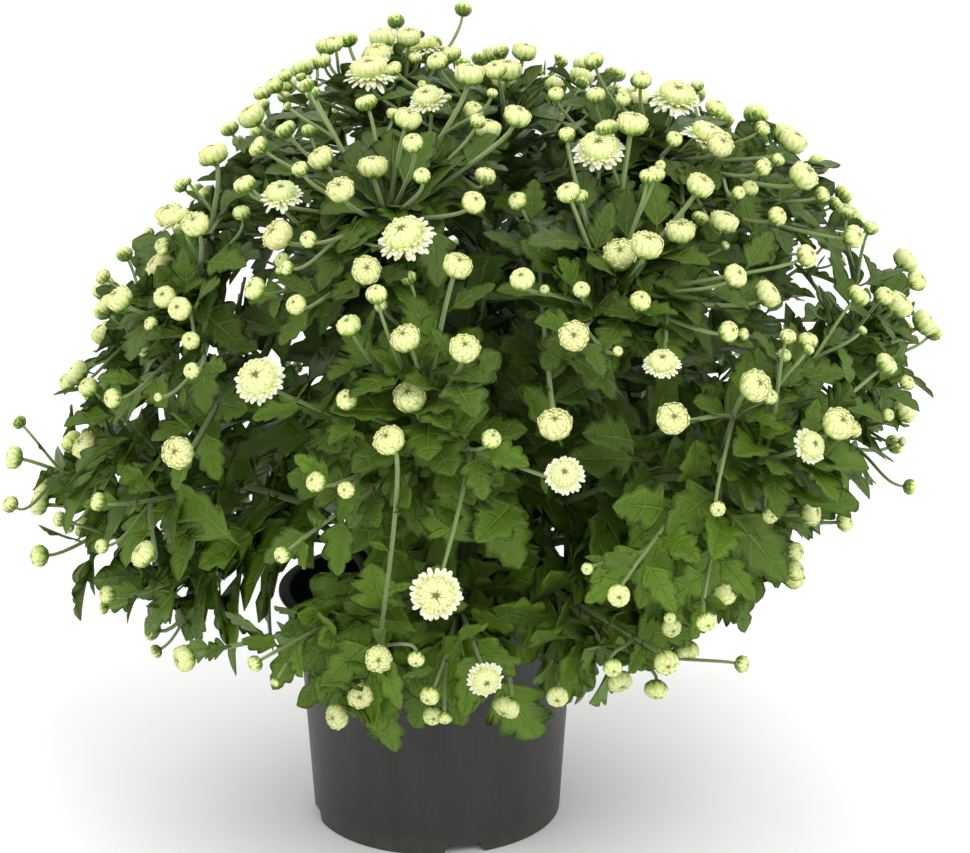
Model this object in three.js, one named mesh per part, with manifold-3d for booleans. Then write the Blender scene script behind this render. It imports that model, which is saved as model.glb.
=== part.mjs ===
// A potted chrysanthemum: a nursery pot filled with soil, leafy flowering stems that rise from the
// middle of the soil and fan out to a wide dome, and the open blooms that stand on their calyx cups.
// Millimetres, +Z up. The origin is the centre of the pot's foot on the ground, the front looks to -Y.
// An azimuth is counted from the front, positive towards +X.

import * as THREE from 'three';
import Module from 'manifold-3d';

const wasm = await Module();
wasm.setup();

// Pot
const POT_HEIGHT = 143;
const POT_FOOT_RADIUS = 75.5;
const POT_WALL_TOP_RADIUS = 82.8;
const POT_WALL_TOP = 116;
const POT_COLLAR_RADIUS = 89.5;
const POT_COLLAR_BOTTOM = 123.5;
const POT_LIP_RADIUS = 95;
const POT_LIP_THICKNESS = 3;
const POT_WALL = 2.2;
const POT_FLOOR = 8;
const POT_FLOOR_THICKNESS = 2.5;
const POT_BOSS_RADIUS = 12;
const POT_SIDES = 28;
const FOOT_BEVEL = 1.5;
const COLLAR_FLARE = 1;
const NOTCH_WIDTH = 24;
const NOTCH_HEIGHT = 6.5;
const NOTCH_AZIMUTH = 12;
const NOTCHES = 4;
const NOTCH_SLOPE = 2;
const NOTCH_DEPTH = 12;
const DRAIN_RADIUS = 5;
const DRAIN_CIRCLE = 52;
const DRAIN_SIDES = 6;

// Soil
const SOIL_TOP = 127;
const SOIL_DOME = 3;
const SOIL_FLAT_RADIUS = 62;
const SOIL_GAP = 0.3;
const SOIL_SIDES = 24;

// Dome that the flower heads make: wider than high, its middle to the right of the pot and its skirt
// hanging lower on the left
const DOME_X = 40;
const DOME_Z = 235;
const DOME_RADIUS = 260;
const DOME_UP = 229;
const DOME_DOWN = 116;
const DOME_LEAN = 26;
const DOME_POWER = 2.3;

// Leafy stems
const SEED = 4711;
const STEMS = 32;
const POLAR_SPAN = 1.8;
const POLAR_CROWDING = 1.25;
const CROWN_X = 7;
const CROWN_RADIUS = 49;
const STEM_DEPTH = 22;
const STEM_FOOT_RADIUS = 3.1;
const STEM_TIP_RADIUS = 1.7;
const STEM_STEPS = 5;
const SHOOT_RADIUS = 1.5;
const SHOOT_TAPER = 0.85;
const HOLE_CLEARANCE = 0.9;
const HOLE_RISE = 12;
const RISE_INNER = 0.4;
const RISE_SKIRT = 0.52;
const RISE_OUTWARD = 0.06;
const TIP_LIFT = 0.3;
const TIP_BEND = 0.38;
const AZIMUTH_SCATTER = 0.12;
const TIP_INSET = [2, 16];
const GOLDEN_ANGLE = Math.PI * (3 - Math.sqrt(5));

// Places where the plant reaches past the dome: azimuth, distance from the dome's axis, height
const REACHES = [
  [-88, 282, 200],
  [-80, 234, 158],
  [-72, 252, 256],
  [88, 236, 258],
  [82, 248, 314],
  [52, 214, 228],
  [40, 192, 178],
  [20, 176, 138],
  [-2, 168, 124],
  [-22, 214, 148],
  [-106, 73, 474],
];

// Open blooms: azimuth on the dome, height, diameter
const OPEN_BLOOMS = [
  [-56, 455, 35],
  [-105, 462, 30],
  [16, 427, 32],
  [-15, 390, 34],
  [-31, 322, 31],
  [-9, 224, 31],
  [40, 428, 33],
  [49, 415, 33],
  [-38, 404, 26],
  [-22, 448, 25],
  [-4, 166, 23],
  [17, 333, 23],
  [34, 274, 23],
  [5, 284, 23],
  [-56, 385, 24],
  [112, 350, 30],
  [150, 415, 32],
  [-150, 400, 28],
  [176, 300, 31],
  [-128, 300, 29],
  [138, 240, 28],
  [-172, 205, 27],
];

// Half-open heads that stand out: azimuth on the dome, height, diameter
const LARGE_HEADS = [
  [4, 121, 18],
  [40, 297, 19],
  [30, 321, 18],
  [4, 313, 18],
  [-8, 335, 18],
  [-23, 353, 18],
  [45, 377, 20],
  [-65, 391, 18],
  [25, 397, 16],
  [-68, 247, 18],
  [-51, 219, 17],
  [-17, 178, 16],
  [18, 310, 17],
  [66, 340, 17],
  [34, 399, 16],
  [-5, 443, 16],
  [-15, 303, 16],
  [-31, 166, 15],
];

// Flower heads on one stem: the main one, the leading ones round it and the small ones farther out
const LEAD_HEADS = 3;
const SIDE_HEADS = 2;
const LEAD_SPREAD = 38;
const SIDE_SPREAD = 60;
const SPREAD_SCATTER = [0.82, 1.15];
const ANGLE_SCATTER = 0.25;
const SIDE_TURN = 0.95;
const HEAD_DEPTH = 20;
const MAIN_HEAD = [7, 9];
const LEAD_HEAD = [5, 8];
const SIDE_HEAD = [3.6, 5.4];
const HEAD_LIFT = 0.45;
const HEAD_OUTWARD = 0.8;
const HEAD_SCATTER = 0.3;
const GIVEN_INSET = 3;

// Shape of a head in radii above its base: the small ones are a pointed bud, the others a ball
const SMALL_HEAD = 6.4;
const BUD_WAIST = 0.85;
const BUD_TOP = 1.75;
const BALL_WAIST = 0.7;
const BALL_SHOULDER = 1.35;
const BALL_SHOULDER_WIDTH = 0.72;
const BALL_TOP = 1.45;

// Open blooms: the cup under them, then their two layers of ray petals, in radii above the cup
const CUP_RADIUS = 5;
const SEAT_GAP = 0.3;
const LARGE_BLOOM = 14;
const LARGE_RAYS = 10;
const SMALL_RAYS = 8;
const OUTER_LAYER = { height: 0.3, tip: 1, valley: 0.62 };
const BLOOM_WAIST = { height: 0.42, width: 0.46 };
const INNER_LAYER = { height: 0.66, tip: 0.76, valley: 0.5 };
const BLOOM_CENTRE = 0.6;

// Leaves: those of the main stem by height, then two on each leading shoot
const STEM_LEAVES = 3;
const LOWEST_LEAF = 0.52;
const HIGHEST_LEAF = 0.93;
const SHOOT_LEAVES = [0.56, 0.3];
const LEAF_LENGTH_LOW = 66;
const LEAF_LENGTH_HIGH = 48;
const SHOOT_LEAF_LENGTH = 46;
const LEAF_WIDTH = 0.74;
const LEAF_HALF_THICKNESS = 0.7;
const LEAF_STALK = 0.22;
const LEAF_FOLD = 0.1;
const LEAF_DROOP = 0.2;
const LEAF_CREST = 0.47;
const LEAF_SCATTER = [0.9, 1.1];

// Seats of twigs on a stem's face, and the room that each piece keeps to the next
const SEAT_SHARE = 0.3;
const SEAT_ROOM = 1.6;
const SIDE_SEAT = 0.25;
const LEAD_SEATS = [0.4, 0.93];
const SHOOT_DROP = 20;
const SHOOT_LEAVE = 0.28;
const SHOOT_ARRIVE = 0.36;
const CLEARANCE = 0.6;
const TOUCH_VOLUME = 0.0001;
const LIFT = 0.15;
const FACE_PULL = 0.8;
const LEAST_LEAN = 0.4;

const UP = new THREE.Vector3(0, 0, 1);

const green = new THREE.MeshStandardMaterial({ color: 0x3d6426, roughness: 0.55, metalness: 0 });
const cream = new THREE.MeshStandardMaterial({ color: 0xf2efb4, roughness: 0.6, metalness: 0 });
const darkPlastic = new THREE.MeshStandardMaterial({ color: 0x403e3b, roughness: 0.5, metalness: 0 });
const pottingMix = new THREE.MeshStandardMaterial({ color: 0x2a1d15, roughness: 0.95, metalness: 0 });

// A number from 0 to 1 that is always the same for the same stem, item and use.
function luck(stem, item, use) {
  let bits = (SEED + stem * 7919 + item * 104729 + use * 15485863) | 0;
  bits = Math.imul(bits ^ (bits >>> 15), 0x2c1b3c6d);
  bits = Math.imul(bits ^ (bits >>> 12), 0x297a2d39);
  bits ^= bits >>> 15;
  return (bits >>> 0) / 4294967296;
}

function spread(low, high, part) {
  return low + (high - low) * part;
}

function radians(degrees) {
  return (degrees * Math.PI) / 180;
}

// Level direction at an azimuth, counted from the front towards +X.
function around(azimuth) {
  return new THREE.Vector3(Math.sin(azimuth), -Math.cos(azimuth), 0);
}

// The dome's half-height above or below its middle, at an azimuth.
function domeHalf(azimuth, rise) {
  return rise > 0 ? DOME_UP : DOME_DOWN - DOME_LEAN * Math.sin(azimuth);
}

// A point of the dome. The polar angle runs from 0 at the top to beyond a right angle under the skirt.
function domePoint(azimuth, polar, inset = 0) {
  const across = Math.sin(polar);
  const rise = Math.cos(polar);
  const reach = (Math.abs(across) ** DOME_POWER + Math.abs(rise) ** DOME_POWER) ** (-1 / DOME_POWER);
  const half = domeHalf(azimuth, rise);
  const point = around(azimuth).multiplyScalar((DOME_RADIUS - inset) * across * reach);
  point.x += DOME_X;
  point.z = DOME_Z + (half - inset) * rise * reach;
  return point;
}

// The azimuth and polar angle at which a point stands, seen from the dome's middle.
function domePlace(point) {
  const away = Math.hypot(point.x - DOME_X, point.y) / DOME_RADIUS;
  const azimuth = Math.atan2(point.x - DOME_X, -point.y);
  const lift = point.z - DOME_Z;
  return [azimuth, Math.atan2(away, lift / domeHalf(azimuth, lift))];
}

// The polar angle at which the dome has a given height.
function polarAtHeight(azimuth, height) {
  const lift = height - DOME_Z;
  const rise = Math.min(0.999, Math.abs(lift) / domeHalf(azimuth, lift));
  const across = (1 - rise ** DOME_POWER) ** (1 / DOME_POWER);
  return Math.atan2(across, Math.sign(lift) * rise);
}

function domeNormal(azimuth, polar) {
  return around(azimuth).multiplyScalar(Math.sin(polar)).addScaledVector(UP, Math.cos(polar));
}

// Two level directions at right angles to a given one, and to each other.
function sideways(direction) {
  const helper = Math.abs(direction.z) < 0.9 ? UP : new THREE.Vector3(0, 1, 0);
  const first = new THREE.Vector3().crossVectors(helper, direction).normalize();
  const second = new THREE.Vector3().crossVectors(direction, first);
  return [first, second];
}

// Solids. A skin is a list of triangles, each of three points; triangles that meet share their points.

function indexed(skin) {
  const places = new Map();
  skin.flat().forEach((point) => places.has(point) || places.set(point, places.size));
  return {
    vertProperties: new Float32Array([...places.keys()].flatMap((point) => point.toArray())),
    triVerts: new Uint32Array(skin.flat().map((point) => places.get(point))),
  };
}

function solidFrom(skin) {
  return new wasm.Manifold(new wasm.Mesh({ numProp: 3, ...indexed(skin) }));
}

function solidOfGeometry(geometry) {
  const plain = geometry.index ? geometry.toNonIndexed() : geometry;
  const position = plain.getAttribute('position');
  const known = new Map();
  const corners = Array.from({ length: position.count }, (_, corner) => {
    const point = new THREE.Vector3().fromBufferAttribute(position, corner);
    const key = point.toArray().map((value) => Math.round(value * 1e4)).join();
    if (!known.has(key)) {
      known.set(key, point);
    }
    return known.get(key);
  });
  const skin = [];
  for (let corner = 0; corner < corners.length; corner += 3) {
    const triangle = corners.slice(corner, corner + 3);
    if (new Set(triangle).size === 3) {
      skin.push(triangle);
    }
  }
  return solidFrom(skin);
}

function nearest(ring, point) {
  const distances = ring.map((corner) => corner.distanceTo(point));
  return distances.indexOf(Math.min(...distances));
}

// The skin between rings of points. Neighbouring rings may differ in their number of points, and a
// ring of one point is an apex. Rings run counterclockwise as seen from the end they lead to.
function loft(rings) {
  const skin = [];
  for (let level = 0; level + 1 < rings.length; level += 1) {
    const low = rings[level];
    const high = rings[level + 1];
    let below = 0;
    let above = nearest(high, low[0]);
    const lead = above;
    const steps = (low.length > 1 ? low.length : 0) + (high.length > 1 ? high.length : 0);
    for (let step = 0; step < steps; step += 1) {
      const onLow = (below + 1) / low.length <= (above - lead + 1) / high.length;
      const stepBelow = high.length === 1 || (low.length > 1 && onLow);
      const corner = low[below % low.length];
      const across = high[above % high.length];
      if (stepBelow) {
        below += 1;
        skin.push([corner, low[below % low.length], across]);
      } else {
        above += 1;
        skin.push([corner, high[above % high.length], across]);
      }
    }
  }
  return skin;
}

// Flat ends of a loft: a fan over its first ring, facing back, and one over its last, facing on.
function firstCap(ring) {
  return ring.slice(2).map((point, index) => [ring[0], point, ring[index + 1]]);
}

function lastCap(ring) {
  return ring.slice(2).map((point, index) => [ring[0], ring[index + 1], point]);
}

function closedLoft(rings) {
  return solidFrom([...firstCap(rings[0]), ...loft(rings), ...lastCap(rings[rings.length - 1])]);
}

// A ring of points round a centre, in the plane of two directions.
function ringAt(centre, first, second, radii, turn = 0) {
  return radii.map((radius, corner) => {
    const angle = turn + (corner / radii.length) * 2 * Math.PI;
    return centre
      .clone()
      .addScaledVector(first, radius * Math.cos(angle))
      .addScaledVector(second, radius * Math.sin(angle));
  });
}

// Three-sided rings along a path, thinning from one radius to another. The last one can look to where
// the next piece goes on.
function stemRings(path, startRadius, endRadius, start = null, ahead = null) {
  let [first] = start ? [start] : sideways(path[1].clone().sub(path[0]).normalize());
  return path.map((point, index) => {
    const before = path[Math.max(0, index - 1)];
    const after = path[Math.min(path.length - 1, index + 1)];
    const along = after.clone().sub(before).normalize();
    if (ahead && index === path.length - 1) {
      along.add(ahead).normalize();
    }
    first = first.clone().addScaledVector(along, -first.dot(along)).normalize();
    const second = new THREE.Vector3().crossVectors(along, first);
    const radius = spread(startRadius, endRadius, index / (path.length - 1));
    return ringAt(point, first, second, [radius, radius, radius]);
  });
}

// Limbs: a limb is a three-sided stem or shoot, and what grows from one of its faces shares that
// face's skin, so a leafy stem is one closed body from its foot to its last bud.

function faceCorners(limb, level, side) {
  const next = (side + 1) % 3;
  const { rings } = limb;
  return [rings[level][side], rings[level][next], rings[level + 1][next], rings[level + 1][side]];
}

function faceNormal([a, b, c, d]) {
  const rise = c.clone().sub(a);
  return rise.cross(d.clone().sub(b)).normalize();
}

// The seat of a twig on a limb: the face that looks its way, and three points inside that face.
function seatOn(limb, level, part, direction, upward) {
  const sides = [0, 1, 2].map((side) => faceNormal(faceCorners(limb, level, side)));
  const side = [0, 1, 2].reduce((best, one) => (sides[one].dot(direction) > sides[best].dot(direction)
    ? one : best));
  const corners = faceCorners(limb, level, side);
  const along = corners[3].clone().sub(corners[0]);
  const width = corners[1].distanceTo(corners[0]);
  const radius = SEAT_SHARE * width;
  const taken = limb.seats.filter((seat) => seat.level === level && seat.side === side);
  const room = (radius * SEAT_ROOM) / along.length();
  let place = Math.min(1 - room, Math.max(room, part));
  while (taken.some((seat) => Math.abs(seat.place - place) < 2 * room)) {
    place += room * 0.5;
  }
  if (place > 1 - room) {
    return null;
  }
  const bottom = corners[0].clone().lerp(corners[1], 0.5);
  const centre = bottom.lerp(corners[3].clone().lerp(corners[2], 0.5), place);
  const normal = sides[side];
  const top = upward.clone().addScaledVector(normal, -upward.dot(normal)).normalize();
  const across = new THREE.Vector3().crossVectors(normal, top);
  const ring = ringAt(centre, top, across, [radius, radius, radius]);
  return { limb, level, side, place, ring, centre, normal, top };
}

// A limb's own skin, each face cut out where something grows from it.
function limbSkin(limb) {
  const skin = [];
  for (let level = 0; level + 1 < limb.rings.length; level += 1) {
    for (let side = 0; side < 3; side += 1) {
      const corners = faceCorners(limb, level, side);
      const holes = limb.seats.filter((seat) => seat.level === level && seat.side === side);
      const across = corners[1].clone().sub(corners[0]).normalize();
      const up = new THREE.Vector3().crossVectors(faceNormal(corners), across);
      const flat = (point) => {
        const offset = point.clone().sub(corners[0]);
        return new THREE.Vector2(offset.dot(across), offset.dot(up));
      };
      const loops = holes.map((seat) => [...seat.ring].reverse());
      const points = [...corners, ...loops.flat()];
      const triangles = THREE.ShapeUtils.triangulateShape(
        corners.map(flat),
        loops.map((loop) => loop.map(flat)),
      );
      for (const triangle of triangles) {
        const [one, two, three] = triangle.map((index) => flat(points[index]));
        const faces = two.sub(one).cross(three.sub(one)) > 0;
        const ordered = faces ? triangle : [...triangle].reverse();
        skin.push(ordered.map((index) => points[index]));
      }
    }
  }
  return skin;
}

// Pot and soil

// The pot's outside, from the foot up to the lip: radius and height.
function potOutside() {
  return [
    [POT_FOOT_RADIUS, 0],
    [POT_WALL_TOP_RADIUS, POT_WALL_TOP],
    [POT_COLLAR_RADIUS, POT_COLLAR_BOTTOM],
    [POT_COLLAR_RADIUS + COLLAR_FLARE, POT_HEIGHT - POT_LIP_THICKNESS],
    [POT_LIP_RADIUS, POT_HEIGHT - POT_LIP_THICKNESS],
    [POT_LIP_RADIUS, POT_HEIGHT],
  ];
}

function potInsideRadius(height) {
  const rise = (height - POT_FLOOR) / (POT_WALL_TOP - POT_FLOOR);
  const foot = spread(POT_FOOT_RADIUS, POT_WALL_TOP_RADIUS, POT_FLOOR / POT_WALL_TOP);
  return spread(foot, POT_WALL_TOP_RADIUS, rise) - POT_WALL;
}

function turned(profile, sides) {
  const outline = profile.map(([radius, height]) => new THREE.Vector2(radius, height));
  const lathe = new THREE.LatheGeometry(outline, sides);
  lathe.rotateX(Math.PI / 2);
  return solidOfGeometry(lathe);
}

function buildPot() {
  const underFloor = POT_FLOOR - POT_FLOOR_THICKNESS;
  const profile = [
    [0, 0],
    [POT_BOSS_RADIUS, 0],
    [POT_BOSS_RADIUS, underFloor],
    [POT_FOOT_RADIUS - POT_WALL - FOOT_BEVEL, underFloor],
    [POT_FOOT_RADIUS - POT_WALL, 0],
    ...potOutside(),
    [POT_COLLAR_RADIUS - POT_WALL + COLLAR_FLARE, POT_HEIGHT],
    [POT_COLLAR_RADIUS - POT_WALL, POT_COLLAR_BOTTOM + COLLAR_FLARE],
    [potInsideRadius(POT_WALL_TOP), POT_WALL_TOP],
    [potInsideRadius(POT_FLOOR), POT_FLOOR],
    [0, POT_FLOOR],
  ];
  let pot = turned(profile, POT_SIDES);
  for (let notch = 0; notch < NOTCHES; notch += 1) {
    const azimuth = radians(NOTCH_AZIMUTH + (notch * 360) / NOTCHES);
    const half = NOTCH_WIDTH / 2;
    const outline = new THREE.Shape();
    outline.moveTo(-half - NOTCH_SLOPE / 2, -1);
    outline.lineTo(half + NOTCH_SLOPE / 2, -1);
    outline.lineTo(half - NOTCH_SLOPE, NOTCH_HEIGHT);
    outline.lineTo(-half + NOTCH_SLOPE, NOTCH_HEIGHT);
    const cutter = new THREE.ExtrudeGeometry(outline, { depth: NOTCH_DEPTH + 4, bevelEnabled: false });
    cutter.rotateX(Math.PI / 2);
    cutter.translate(0, NOTCH_DEPTH - POT_FOOT_RADIUS, 0);
    cutter.rotateZ(azimuth);
    pot = pot.subtract(solidOfGeometry(cutter));
    const drain = new THREE.CylinderGeometry(DRAIN_RADIUS, DRAIN_RADIUS, 2 * POT_FLOOR, DRAIN_SIDES);
    drain.rotateX(Math.PI / 2);
    drain.translate(0, -DRAIN_CIRCLE, POT_FLOOR);
    drain.rotateZ(azimuth + Math.PI / NOTCHES);
    pot = pot.subtract(solidOfGeometry(drain));
  }
  return pot;
}

function buildSoil(stems) {
  const bottom = POT_FLOOR + SOIL_GAP;
  const shoulder = SOIL_TOP - SOIL_DOME;
  const wallGap = (height) => potInsideRadius(height) * Math.cos(Math.PI / POT_SIDES) - SOIL_GAP;
  const profile = [
    [0, bottom],
    [wallGap(bottom), bottom],
    [wallGap(POT_WALL_TOP), POT_WALL_TOP],
    [wallGap(POT_WALL_TOP) + POT_WALL, shoulder],
    [SOIL_FLAT_RADIUS, SOIL_TOP],
    [0, SOIL_TOP],
  ];
  let soil = turned(profile, SOIL_SIDES);
  for (const stem of stems) {
    const start = stem.path[0].clone();
    const along = stem.path[1].clone().sub(start).normalize();
    const end = stem.path[1].clone().addScaledVector(along, HOLE_RISE);
    start.addScaledVector(along, -SOIL_GAP);
    const radius = STEM_FOOT_RADIUS + HOLE_CLEARANCE;
    soil = soil.subtract(closedLoft(stemRings([start, end], radius, radius)));
  }
  return soil;
}

// Stems

// Even places on the dome by the golden angle, some of them pulled out to where the plant reaches.
function stemPlaces() {
  const places = [];
  for (let stem = 0; stem < STEMS; stem += 1) {
    const share = (stem + 0.5) / STEMS;
    const polar = Math.acos(1 - POLAR_SPAN * share ** POLAR_CROWDING);
    const azimuth = stem * GOLDEN_ANGLE + spread(-AZIMUTH_SCATTER, AZIMUTH_SCATTER, luck(stem, 0, 1));
    const inset = spread(...TIP_INSET, luck(stem, 0, 2));
    const crown = around(azimuth).multiplyScalar(CROWN_RADIUS * Math.sqrt(share));
    crown.x += CROWN_X;
    places.push({ stem, crown, share, tip: domePoint(azimuth, polar, inset), moved: false });
  }
  for (const [azimuth, radius, height] of REACHES) {
    const target = around(radians(azimuth)).multiplyScalar(radius);
    target.x += DOME_X;
    target.z = height;
    const free = places.filter((place) => !place.moved);
    free.sort((one, two) => one.tip.distanceTo(target) - two.tip.distanceTo(target));
    free[0].tip = target;
    free[0].moved = true;
  }
  return places;
}

// A stem stands upright in its hole, rises, and bends over to leave the dome nearly square to it.
function growStem(place) {
  const [azimuth, polar] = domePlace(place.tip);
  const normal = domeNormal(azimuth, polar);
  const foot = place.crown.clone();
  foot.z = SOIL_TOP - 1;
  const reach = place.tip.distanceTo(foot);
  const under = Math.max(0, polar - Math.PI / 2);
  const upright = spread(RISE_INNER, RISE_SKIRT, Math.min(1, under));
  const rise = foot.clone().addScaledVector(UP, reach * upright);
  rise.addScaledVector(around(azimuth), reach * RISE_OUTWARD);
  const leaving = normal.clone().addScaledVector(UP, TIP_LIFT).normalize();
  const bend = place.tip.clone().addScaledVector(leaving, -reach * TIP_BEND);
  const curve = new THREE.CubicBezierCurve3(foot, rise, bend, place.tip);
  const rooted = foot.clone().addScaledVector(rise.clone().sub(foot).normalize(), -STEM_DEPTH);
  const path = [rooted];
  for (let step = 0; step <= STEM_STEPS; step += 1) {
    path.push(curve.getPoint(step / STEM_STEPS));
  }
  return { ...place, curve, path, normal, reach, across: sideways(normal), parts: [] };
}

// Flower heads

// Where the heads of one stem stand: the main head on the tip, leading ones round it, side ones farther.
function headPlaces(stem) {
  const turn = luck(stem.stem, 0, 3) * 2 * Math.PI;
  const [first, second] = stem.across;
  return Array.from({ length: 1 + LEAD_HEADS + SIDE_HEADS }, (_, item) => {
    const isMain = item === 0;
    const isLead = item > 0 && item <= LEAD_HEADS;
    const share = ((item - 1) % LEAD_HEADS) / LEAD_HEADS;
    const scatter = spread(-ANGLE_SCATTER, ANGLE_SCATTER, luck(stem.stem, item, 4));
    const angle = turn + share * 2 * Math.PI + scatter + (isLead ? 0 : SIDE_TURN);
    const wide = isLead ? LEAD_SPREAD : SIDE_SPREAD;
    const away = isMain ? 0 : wide * spread(...SPREAD_SCATTER, luck(stem.stem, item, 5));
    const flat = stem.tip
      .clone()
      .addScaledVector(first, away * Math.cos(angle))
      .addScaledVector(second, away * Math.sin(angle));
    const [azimuth, polar] = domePlace(flat);
    const onDome = domePoint(azimuth, polar, HEAD_DEPTH * luck(stem.stem, item, 6));
    const sizes = isMain ? MAIN_HEAD : isLead ? LEAD_HEAD : SIDE_HEAD;
    return {
      stem,
      item,
      isMain,
      isLead,
      parent: isLead ? 0 : item - LEAD_HEADS,
      point: isMain || stem.moved ? flat : onDome,
      radius: spread(...sizes, luck(stem.stem, item, 7)),
      open: false,
      fixed: false,
    };
  });
}

// The nearest free head goes to each place that is given, and takes its size.
function placeGivenHeads(heads, given, open) {
  for (const [azimuth, height, diameter] of given) {
    const angle = radians(azimuth);
    const target = domePoint(angle, polarAtHeight(angle, height), GIVEN_INSET);
    const free = heads.filter((head) => !head.fixed && (head.isMain || head.isLead));
    free.sort((one, two) => one.point.distanceTo(target) - two.point.distanceTo(target));
    const head = free[0];
    if (!head.isMain) {
      head.point = target;
    }
    head.radius = diameter / 2;
    head.open = open;
    head.fixed = true;
  }
}

// A head looks outward from the dome and up to the light.
function headFacing(head) {
  const [azimuth, polar] = domePlace(head.point);
  const facing = domeNormal(azimuth, polar).multiplyScalar(HEAD_OUTWARD).addScaledVector(UP, HEAD_LIFT);
  const [first, second] = sideways(facing.clone().normalize());
  const { stem } = head.stem;
  facing.addScaledVector(first, spread(-HEAD_SCATTER, HEAD_SCATTER, luck(stem, head.item, 8)));
  facing.addScaledVector(second, spread(-HEAD_SCATTER, HEAD_SCATTER, luck(stem, head.item, 9)));
  return facing.normalize();
}

// A closed head: its widest ring and a pointed top, or on the larger ones a shoulder and a low top.
function headRings(base, facing, radius) {
  const [first, second] = sideways(facing);
  const at = (height) => base.clone().addScaledVector(facing, height * radius);
  const six = (width) => new Array(6).fill(width * radius);
  if (radius < SMALL_HEAD) {
    return [ringAt(at(BUD_WAIST), first, second, six(1)), [at(BUD_TOP)]];
  }
  return [
    ringAt(at(BALL_WAIST), first, second, six(1)),
    ringAt(at(BALL_SHOULDER), first, second, six(BALL_SHOULDER_WIDTH)),
    [at(BALL_TOP)],
  ];
}

// The green cup that an open bloom stands on.
function cupRings(base, facing) {
  const [first, second] = sideways(facing);
  const top = base.clone().addScaledVector(facing, CUP_RADIUS);
  return [ringAt(top, first, second, new Array(6).fill(CUP_RADIUS))];
}

// An open bloom: a flat seat, a layer of long ray petals, a waist, a layer of shorter ones, a centre.
function openBloom(base, facing, radius) {
  const [first, second] = sideways(facing);
  const seat = CUP_RADIUS + SEAT_GAP;
  const at = (height) => base.clone().addScaledVector(facing, seat + height * radius);
  const rays = radius > LARGE_BLOOM ? LARGE_RAYS : SMALL_RAYS;
  const layer = ({ height, tip, valley }, turn) => {
    const radii = Array.from({ length: 2 * rays }, (_, ray) => radius * (ray % 2 ? valley : tip));
    return ringAt(at(height), first, second, radii, turn);
  };
  const waist = new Array(rays).fill(BLOOM_WAIST.width * radius);
  return closedLoft([
    ringAt(at(0), first, second, new Array(6).fill(CUP_RADIUS - 0.4)),
    layer(OUTER_LAYER, 0),
    ringAt(at(BLOOM_WAIST.height), first, second, waist),
    layer(INNER_LAYER, Math.PI / rays),
    [at(BLOOM_CENTRE)],
  ]);
}

// The place, look and end of a head after a shift from its own place. A short stalk turns its head.
function headEnd(head, shift, root = null) {
  const { stem } = head;
  const [first, second] = stem.across;
  const point = head.point
    .clone()
    .addScaledVector(first, shift[0])
    .addScaledVector(second, shift[1])
    .addScaledVector(stem.normal, shift[2]);
  const facing = headFacing({ ...head, point });
  if (root) {
    facing.add(point.clone().sub(root).normalize()).normalize();
  }
  const height = head.open ? CUP_RADIUS : BALL_TOP * head.radius;
  const base = point.clone().addScaledVector(facing, -height);
  const rings = head.open ? cupRings(base, facing) : headRings(base, facing, head.radius);
  return { base, facing, rings };
}

// The side shoot or stalk that carries a head, from its seat on a limb to the head on its end.
function growShoot(head, limb, shift) {
  const { stem } = head;
  const away = head.point.distanceTo(stem.tip);
  const drop = (away * 0.95 + SHOOT_DROP) / stem.reach;
  const share = Math.min(LEAD_SEATS[1], Math.max(LEAD_SEATS[0], 1 - drop));
  const steps = limb.path.length - 1 - limb.buried;
  const height = head.isLead ? share * steps : steps - 1 + SIDE_SEAT;
  const step = Math.min(steps - 1, Math.floor(height));
  const level = step + limb.buried;
  const root = limb.path[level].clone().lerp(limb.path[level + 1], height - step);
  const end = headEnd(head, shift, head.isLead ? null : root);
  const direction = end.base.clone().sub(root).normalize();
  const seat = seatOn(limb, level, height - step, direction, stem.normal);
  if (!seat) {
    return null;
  }
  const length = end.base.distanceTo(seat.centre);
  const leave = seat.centre.clone().addScaledVector(seat.normal, SHOOT_LEAVE * length);
  const arrive = end.base.clone().addScaledVector(end.facing, -SHOOT_ARRIVE * length);
  const curve = new THREE.CubicBezierCurve3(seat.centre, leave, arrive, end.base);
  const path = (head.isLead ? [0, 0.5, 1] : [0, 1]).map((part) => curve.getPoint(part));
  const leaving = path[1].clone().sub(path[0]).normalize();
  const arriving = end.base.clone().sub(path[path.length - 2]).normalize();
  if (leaving.dot(seat.normal) < LEAST_LEAN || arriving.dot(end.facing) < LEAST_LEAN) {
    return null;
  }
  const rings = stemRings(path, SHOOT_RADIUS, SHOOT_RADIUS * SHOOT_TAPER, seat.top, end.facing);
  rings[0] = seat.ring;
  return { ...end, limb: { rings, path, seats: [], buried: 0, end: end.rings }, seat };
}

function limbSolid(limb) {
  return closedLoft([...limb.rings, ...limb.end]);
}

// Leaves

// Half of a leaf's outline from the shoulder to the tip: length along the blade, half-width.
const LEAF_OUTLINE = [
  [0.36, 0.5],
  [0.45, 0.28],
  [0.68, 0.4],
  [0.75, 0.2],
];

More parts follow.
